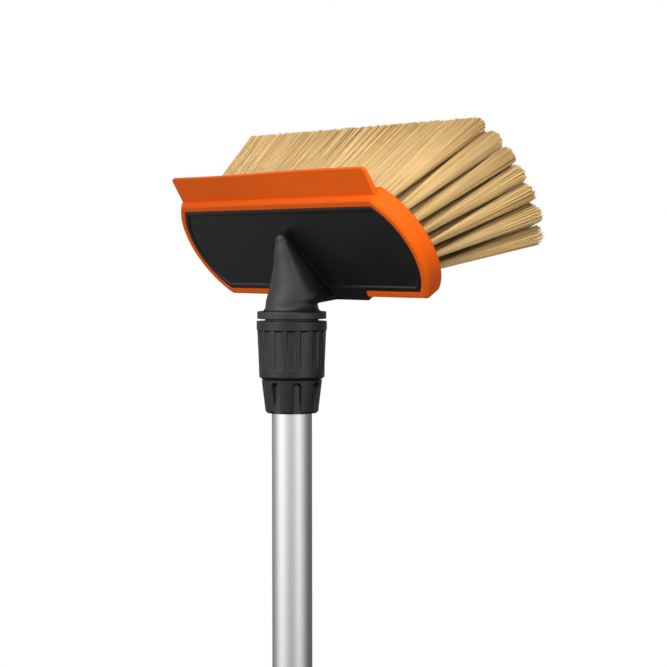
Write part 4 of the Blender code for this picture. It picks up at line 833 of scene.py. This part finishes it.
# Distance out from the shell, depth, and how far that corner is rounded
section = [(BUMPER_WALL, front, 0.0016), (GAP, front, 0.0006), (GAP, -BUMPER_BACK, 0.0005),
           (BUMPER_WALL - BUMPER_BEVEL, -BUMPER_BACK, 0.0005), (BUMPER_WALL, BUMPER_BEVEL_DEPTH, 0.0012)]
rings = [head_outline(grow, depth) for grow, depth in softened(section, steps=5)]
bumper = mesh_object("orange_rim_bumper", *lofted(rings, closed=True), orange_rubber, "head")
rings = []
for depth in (-SHELL_DEPTH, FACE_WALL + GAP):
    corners = [(-TAB_TOP_HALF - GAP, TAB_TOP - GAP), (TAB_TOP_HALF + GAP, TAB_TOP - GAP),
               (TAB_FOOT_HALF + GAP, TAB_FOOT + GAP), (-TAB_FOOT_HALF - GAP, TAB_FOOT + GAP)]
    rings.append([head @ Vector((x, v, depth)) for x, v in corners])
cut_away(bumper, *lofted(rings))
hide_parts("rim_bumper")

top = HEAD_HEIGHT / 2 + BUMPER_WALL
rings = []
for step in range(BLADE_STATIONS + 1):
    x = -BLADE_HALF * math.cos(math.pi * step / BLADE_STATIONS)
    nip = max(abs(x) - BLADE_HALF + BLADE_CORNER, 0)
    height = BLADE_HEIGHT - BLADE_CORNER + math.sqrt(BLADE_CORNER ** 2 - nip ** 2)
    bow = BLADE_BOW * (math.sin(BLADE_WAVE * x / BLADE_HALF) + BLADE_SLANT * x / BLADE_HALF)
    face = BLADE_BACK + BLADE_THICKNESS
    outline = [(-top + BLADE_ROOT, BLADE_BACK), (-top + BLADE_ROOT, face), (-top - height, face),
               (-top - height, face - BLADE_TIP), (-top, BLADE_BACK)]
    ring = []
    for v, n in softened(outline):
        rise = max(-v - top, 0) / BLADE_HEIGHT
        ring.append(head @ Vector((x, v, n + bow * rise)))
    rings.append(ring)
blade = mesh_object("squeegee_rubber", *lofted(rings), orange_rubber, "head")
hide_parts("squeegee_blade")

# BRUSH BLOCK, TUFTS AND SCREWS
# The block is cream polypropylene, with five water jets along its middle. Seven rows of polyester
# bristle are set in it, flared out at the ends and most of all along the foot. Four screws hold it.

BLOCK_PROUD = 0.0004
BLOCK_FRONT = SHELL_DEPTH + BLOCK_PROUD
ROWS = 7
ROW_MARGIN = 0.0063
ROW_SPAN = HEAD_HEIGHT - 2 * ROW_MARGIN
TUFT_MARGIN = 0.0075
TUFT_PITCH = 0.0068
END_TUFTS = 4
STRIP_WIDTH = 0.0046
STRIP_DEPTH = 0.0023
BRISTLE_LENGTH = 0.0757
ROOT_WIDTH = 0.00030
TIP_WIDTH = 0.00050
TUFT_RADIUS = 0.0011
TUFT_TIP_RADIUS = 0.0061
TIP_ROUNDING = 0.0028
TIP_RAGGED = 0.0006
LEFT_EXTRA = 0.0075
LEFT_TIPS = 0.1288
LEFT_BEND = 0.0140
END_FLARE = math.radians(13.6)
TOP_FLARE = math.radians(5)
MIDDLE_FLARE = math.radians(3.5)
FOOT_FLARE = math.radians(17.5)
# How far tufts and strands stray by chance, and how much more they do so in the lowest row
TUFT_STRAY = 0.006
RING_STRAY = 0.4
RADIUS_STRAY = 0.08
LENGTH_STRAY = 0.0004
CURL_STRAY = 0.0003
WILD_STRAY = 2.5
WILD_SPREAD = 0.2
WILD_LENGTH = 4
# Rings of strands in a tuft: share of its radius, how many stand there, and how much wider their tips are
TUFT_RINGS = [(1.0, 50, 1.0), (0.78, 32, 1.7), (0.52, 20, 2.1), (0.22, 10, 2.3)]

# Extruded polyester bristle: straw tan, each strand its own shade, softly glossy along its length
bristle, tree = finish("extruded_polyester_bristle")
SHADE_PATCH = 1 / 120
own = add(tree, "ShaderNodeNewGeometry").outputs["Random Per Island"]
shade = add(tree, "ShaderNodeValToRGB", i0=own)
shade.color_ramp.elements[0].color = linear("#DDB46F")
shade.color_ramp.elements[1].color = linear("#F2D69B")
middle_shade = shade.color_ramp.elements.new(0.55)
middle_shade.color = linear("#E8C586")
where = add(tree, "ShaderNodeTexCoord").outputs["Object"]
patch = add(tree, "ShaderNodeTexNoise", Vector=where, Scale=1 / SHADE_PATCH, Detail=3.0).outputs[0]
tint = add(tree, "ShaderNodeMix", {"data_type": "RGBA", "blend_type": "MULTIPLY"}, i0=0.12,
           i6=shade.outputs[0], i7=patch)
shader = add(tree, "ShaderNodeBsdfPrincipled", Base_Color=tint.outputs[2], Roughness=0.48, IOR=1.57)
add(tree, "ShaderNodeOutputMaterial", Surface=shader.outputs[0])

# Moulded polypropylene: cream, waxy, with weak flow clouds
CREAM_CLOUD = 1 / 55
cream_block = clouded("moulded_cream_polypropylene", CREAM_CLOUD, 4.0, "#A8946C", "#C4B08A", (0.45, 0.60),
                      IOR=1.49)

# Stainless steel, cold headed: bright grey, with a fine rubbed surface
RUBBED_GRAIN = 0.0004
steel = clouded("cold_headed_stainless_steel", RUBBED_GRAIN, 4.0, "#B4B5B7", "#D2D3D4", (0.24, 0.38),
                (0.3, 0.7), Metallic=1.0)

refinish(cream_block, "bristle_block")
refinish(nitrile, "chamber_gasket")
refinish(steel, *[f"block_screw_{number}" for number in (1, 2, 3, 4)])


def head_half_length(v, grow):
    """Half length of the head at a distance from its middle line."""
    return ARC_CENTRE + math.sqrt((ARC_RADIUS + grow) ** 2 - v ** 2)


def strand(points, faces, root, lean, length, curl, twist, tip_width):
    """One three-sided bristle that bends a little, drawn wider at its flagged tip to fill the tuft."""
    first = len(points)
    across = lean.cross(Vector((0, 1, 0))).normalized()
    along = lean.cross(across)
    for share in (0.0, 0.5, 1.0):
        centre = root + lean * (length * share) + curl * (share * share)
        half = (ROOT_WIDTH + (tip_width - ROOT_WIDTH) * share) / 2
        for side in range(3):
            turn = twist + 2 * math.pi * side / 3
            points.append(centre + (across * math.cos(turn) + along * math.sin(turn)) * half)
    for row in range(2):
        here = first + 3 * row
        for side in range(3):
            after = (side + 1) % 3
            faces.append((here + side, here + after, here + after + 3, here + side + 3))
    faces.append((first, first + 1, first + 2))
    faces.append((len(points) - 1, len(points) - 2, len(points) - 3))


draw = random.Random(7)
rows = []
for row in range(ROWS):
    v = ROW_SPAN * (row / (ROWS - 1) - 0.5)
    reach = head_half_length(v, -SHELL_WALL - GAP - TUFT_MARGIN)
    left = reach + LEFT_EXTRA if row == 0 else reach
    if row == ROWS // 2:
        right = [reach - TUFT_PITCH * step for step in reversed(range(END_TUFTS))]
        rows.append(("4_right", v, left, reach, right))
        rows.append(("4_left", v, left, reach, [-x for x in reversed(right)]))
    else:
        last = round((left + reach) / TUFT_PITCH)
        places = [(left + reach) * step / last - left for step in range(last + 1)]
        rows.append((str(row + 1), v, left, reach, places))

head_turn = head.to_3x3()
slope = (FOOT_FLARE + TOP_FLARE) / 2
bend = (FOOT_FLARE - TOP_FLARE) / 2 - MIDDLE_FLARE
margin = STRIP_WIDTH / 2
for label, v, left, reach, places in rows:
    points = []
    faces = []
    side = v / (ROW_SPAN / 2)
    for x in places:
        # Towards the left end the tufts splay out near the block and straighten again
        splay = LEFT_BEND * (x / left) ** 4 if x < 0 else 0
        flare = (LEFT_TIPS - left) / BRISTLE_LENGTH * x / left if x < 0 else math.tan(END_FLARE) * x / reach
        # The lower rows are the more unruly ones
        wild = max(side, 0)
        tuft_x = flare - splay / BRISTLE_LENGTH + draw.uniform(-TUFT_STRAY, TUFT_STRAY)
        tuft_v = math.tan(MIDDLE_FLARE + slope * side + bend * side * side)
        tuft_v += draw.uniform(-TUFT_STRAY, TUFT_STRAY) * (1 + WILD_STRAY * wild)
        fan = TUFT_TIP_RADIUS * (1 + WILD_SPREAD * wild) - TUFT_RADIUS
        for share, count, stout in TUFT_RINGS:
            for number in range(count):
                turn = 2 * math.pi * (number + draw.uniform(-RING_STRAY, RING_STRAY)) / count
                out = share + draw.uniform(-RADIUS_STRAY, 0.0)
                aside = Vector((math.cos(turn), math.sin(turn), 0)) * out
                root = Vector((x, v, BLOCK_FRONT - STRIP_DEPTH / 2)) + aside * TUFT_RADIUS
                spread = aside * (fan / BRISTLE_LENGTH)
                lean = Vector((tuft_x, tuft_v, 1)) + spread
                short = abs(draw.gauss(0, LENGTH_STRAY)) * (1 + WILD_LENGTH * wild)
                length = BRISTLE_LENGTH + STRIP_DEPTH / 2 - short
                length -= TIP_ROUNDING * (1 - math.sqrt(max(1 - out * out, 0)))
                curl = Vector((splay + draw.gauss(0, CURL_STRAY), draw.gauss(0, CURL_STRAY), 0))
                # The tips are trimmed, a little unevenly, where the solid bristles end
                ragged = TIP_WIDTH * stout + abs(draw.gauss(0, TIP_RAGGED))
                tip = head @ (root + lean * length + curl)
                pace = head_turn @ lean
                for axis in (1, 2):
                    length -= max(tip[axis] + ragged - cad_box[1][axis], 0) / pace[axis]
                # At both ends a strand leans in until its tip is inside
                over = max(abs(tip.x) + ragged - cad_box[1].x, 0)
                lean.x -= math.copysign(over / BRISTLE_LENGTH, tip.x)
                strand(points, faces, root, lean, length, curl, turn, TIP_WIDTH * stout)
    # The strip of block that the row's roots stand in
    low, high = places[0] - margin, places[-1] + margin
    base = len(points)
    for depth in (BLOCK_FRONT - STRIP_DEPTH, BLOCK_FRONT):
        points += [Vector((low, v - margin, depth)), Vector((high, v - margin, depth)),
                   Vector((high, v + margin, depth)), Vector((low, v + margin, depth))]
    faces += [(base + 3, base + 2, base + 1, base), (base + 4, base + 5, base + 6, base + 7)]
    faces += [(base + step, base + (step + 1) % 4, base + 4 + (step + 1) % 4, base + 4 + step)
              for step in range(4)]
    mesh = bpy.data.meshes.new(f"bristles_{label}")
    mesh.from_pydata([head @ point for point in points], [], faces)
    mesh.shade_smooth()
    for face in mesh.polygons[-6:]:
        face.use_smooth = False
    mesh.materials.append(bristle)
    piece = bpy.data.objects.new(f"bristles_{label}", mesh)
    scene.collection.objects.link(piece)
    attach(piece, "head")
    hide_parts(f"bristle_row_{label}")

# VALVE BODY, LEVER AND HOSE PLUG
# A shut-off valve closes the pole's foot: an ABS body round a brass ball, turned by an orange nylon
# lever. A plug for a garden hose connector is screwed in below.

VALVE_SOCKET_RADIUS = 0.0165
VALVE_BODY_RADIUS = 0.0180
VALVE_ROUND = 0.0015
BALL_LEVEL = -0.1135
SHOULDER_DROP = 0.0020
CHAMBER_RADIUS = 0.0105
CHAMBER_RISE = 0.0085
BALL_BORE = 0.0058
STEM_HOLE = 0.0043
STEM_BOSS_RADIUS = 0.0085
STEM_BOSS_ROOT = 0.0120
STEM_BOSS_REACH = 0.0215
STEM_BOSS_ROUND = 0.0008
STEM_BOSS_BREAK = 0.0002
LEVER_LENGTH = 0.0440
LEVER_THICKNESS = 0.0042
LEVER_HUB = 0.0082
LEVER_TIP = 0.0056
LEVER_STEPS = 24
LEVER_ROUND = 0.0009
LEVER_RIB = 0.0018
LEVER_RIB_RISE = 0.0014
LEVER_RIB_ROOT = 0.0008
LEVER_RIB_ROUND = 0.0005
valve = Matrix.Translation((0, 0, BALL_LEVEL)) @ Matrix.Rotation(math.pi / 2, 4, "X")
valve_low, valve_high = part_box("valve_body")
pole_stop = POLE_FOOT - GAP
shoulder = pole_stop - SHOULDER_DROP
chamber_top = BALL_LEVEL + CHAMBER_RISE
section = [(VALVE_SOCKET_RADIUS, valve_high.z), (VALVE_SOCKET_RADIUS, shoulder + VALVE_ROUND),
           (VALVE_BODY_RADIUS, shoulder - VALVE_ROUND), (VALVE_BODY_RADIUS, valve_low.z),
           (CHAMBER_RADIUS, valve_low.z, EDGE_BREAK), (CHAMBER_RADIUS, chamber_top, EDGE_BREAK),
           (BALL_BORE, chamber_top, EDGE_BREAK), (BALL_BORE, pole_stop, EDGE_BREAK),
           (POLE_RADIUS + GAP, pole_stop, EDGE_BREAK), (POLE_RADIUS + GAP, valve_high.z, EDGE_BREAK)]
points, faces = turned(softened(section, VALVE_ROUND, steps=5))
piece = mesh_object("valve_housing", points, faces, black_abs, "pole")
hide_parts("valve_body")
section = [(STEM_BOSS_RADIUS, STEM_BOSS_ROOT), (STEM_BOSS_RADIUS, STEM_BOSS_REACH, STEM_BOSS_ROUND),
           (STEM_HOLE, STEM_BOSS_REACH, EDGE_BREAK), (STEM_HOLE, STEM_BOSS_ROOT)]
points, faces = turned(softened(section, STEM_BOSS_BREAK))
piece = mesh_object("stem_boss", [valve @ Vector(point) for point in points], faces, black_abs, "pole")
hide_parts("valve_body")

# Moulded orange nylon: the bumper's colour, but harder and glossier
ORANGE_CLOUD = 1 / 90
orange_nylon = clouded("moulded_orange_nylon", ORANGE_CLOUD, 4.0, "#D84806", "#E4560E", (0.30, 0.44),
                       IOR=1.53)

low = STEM_BOSS_REACH + GAP
high = low + LEVER_THICKNESS
lean = math.asin((LEVER_HUB - LEVER_TIP) / LEVER_LENGTH)
outline = []
for centre, radius, start, sweep in ((LEVER_LENGTH, LEVER_TIP, lean, math.pi - 2 * lean),
                                     (0.0, LEVER_HUB, math.pi - lean, math.pi + 2 * lean)):
    for step in range(LEVER_STEPS + 1):
        turn = start + sweep * step / LEVER_STEPS
        outline.append((radius * math.cos(turn), centre + radius * math.sin(turn)))
rings = [[valve @ Vector((x, y, level)) for x, y in outline] for level in (low, high)]
piece = mesh_object("valve_lever_arm", *lofted(rings), orange_nylon, "valve", edge=LEVER_ROUND)
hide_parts("valve_lever")
half = LEVER_RIB / 2
rib = [(-half, LEVER_HUB), (half, LEVER_HUB), (half, LEVER_LENGTH), (-half, LEVER_LENGTH)]
levels = (high - LEVER_RIB_ROOT, high + LEVER_RIB_RISE)
rings = [[valve @ Vector((x, y, level)) for x, y in rib] for level in levels]
piece = mesh_object("valve_lever_rib", *lofted(rings), orange_nylon, "valve", edge=LEVER_RIB_ROUND)
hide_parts("valve_lever")

PLUG_THREAD_RADIUS = 0.0102
PLUG_FLANGE_RADIUS = 0.0150
PLUG_FLANGE_THICKNESS = 0.0045
PLUG_CHAMFER = 0.0010
PLUG_CHAMFER_RISE = 0.0008
PLUG_NOTCHES = 8
PLUG_NOTCH_RADIUS = 0.0016
PLUG_WAIST_RADIUS = 0.0072
PLUG_WAIST_LENGTH = 0.0062
PLUG_LATCH_RADIUS = 0.0088
PLUG_LATCH_LENGTH = 0.0040
PLUG_NOSE_RADIUS = 0.0078
PLUG_NOSE_LEVEL = -0.1484
PLUG_NOSE_END = 0.0020
PLUG_GROOVE_RADIUS = 0.0069
PLUG_GROOVE_HALF = 0.0009
PLUG_BORE = 0.0052
PLUG_ROUND = 0.0004
PLUG_END_ROUND = 0.0006
PLUG_STEPS = 240
plug_low, plug_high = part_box("hose_plug")
flange_top = valve_low.z - GAP
flange_foot = flange_top - PLUG_FLANGE_THICKNESS
latch_top = flange_foot - PLUG_WAIST_LENGTH
latch_foot = latch_top - PLUG_LATCH_LENGTH


def notched(radius, turn, height):
    """The plug's flange with its finger notches."""
    if radius < PLUG_FLANGE_RADIUS - PLUG_CHAMFER or height > flange_top - PLUG_CHAMFER_RISE:
        return radius
    aside = round_arc(turn, 0, PLUG_NOTCHES, radius)
    return radius - math.sqrt(max(PLUG_NOTCH_RADIUS ** 2 - aside ** 2, 0))


section = softened([(PLUG_THREAD_RADIUS, plug_high.z), (PLUG_THREAD_RADIUS, flange_top),
                    (PLUG_FLANGE_RADIUS, flange_top)], closed=False)
for level in rows_between(flange_top - GAP, flange_foot + PLUG_CHAMFER_RISE):
    section.append((PLUG_FLANGE_RADIUS, level))
section += softened([(PLUG_FLANGE_RADIUS - PLUG_CHAMFER, flange_foot), (PLUG_WAIST_RADIUS, flange_foot),
                     (PLUG_WAIST_RADIUS, latch_top), (PLUG_LATCH_RADIUS, latch_top),
                     (PLUG_LATCH_RADIUS, latch_foot), (PLUG_NOSE_RADIUS, latch_foot - PLUG_CHAMFER_RISE),
                     (PLUG_NOSE_RADIUS, PLUG_NOSE_LEVEL)], PLUG_ROUND, closed=False)
seal_level = sum(corner.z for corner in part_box("plug_o_ring")) / 2
section += [(PLUG_NOSE_RADIUS, seal_level + PLUG_GROOVE_HALF),
            (PLUG_GROOVE_RADIUS, seal_level + PLUG_GROOVE_HALF),
            (PLUG_GROOVE_RADIUS, seal_level - PLUG_GROOVE_HALF),
            (PLUG_NOSE_RADIUS, seal_level - PLUG_GROOVE_HALF)]
section += softened([(PLUG_NOSE_RADIUS, plug_low.z + PLUG_NOSE_END), (PLUG_NOSE_RADIUS, plug_low.z),
                     (PLUG_BORE, plug_low.z), (PLUG_BORE, plug_high.z)], PLUG_END_ROUND, closed=False)
piece = mesh_object("hose_connector_plug", *turned(section, PLUG_STEPS, notched), black_abs, "pole")
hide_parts("hose_plug")
seal("plug_seal", "plug_o_ring", "pole")

# Turned brass: warm yellow metal, bright, with fine tool marks
TOOL_MARK = 0.0003
brass = clouded("turned_brass", TOOL_MARK, 4.0, "#C29A48", "#DDBB68", (0.16, 0.30), (0.3, 0.7), Metallic=1.0)

# Turned PTFE: clean white, waxy and a little clouded
PTFE_CLOUD = 1 / 140
ptfe = clouded("turned_ptfe", PTFE_CLOUD, 3.0, "#E4E4DF", "#F1F1ED", (0.36, 0.50), IOR=1.35)

refinish(brass, "valve_ball", "valve_stem")
refinish(ptfe, "valve_seat_upper", "valve_seat_lower")
refinish(nitrile, "stem_o_ring")
refinish(steel, "lever_screw", "inlet_filter")
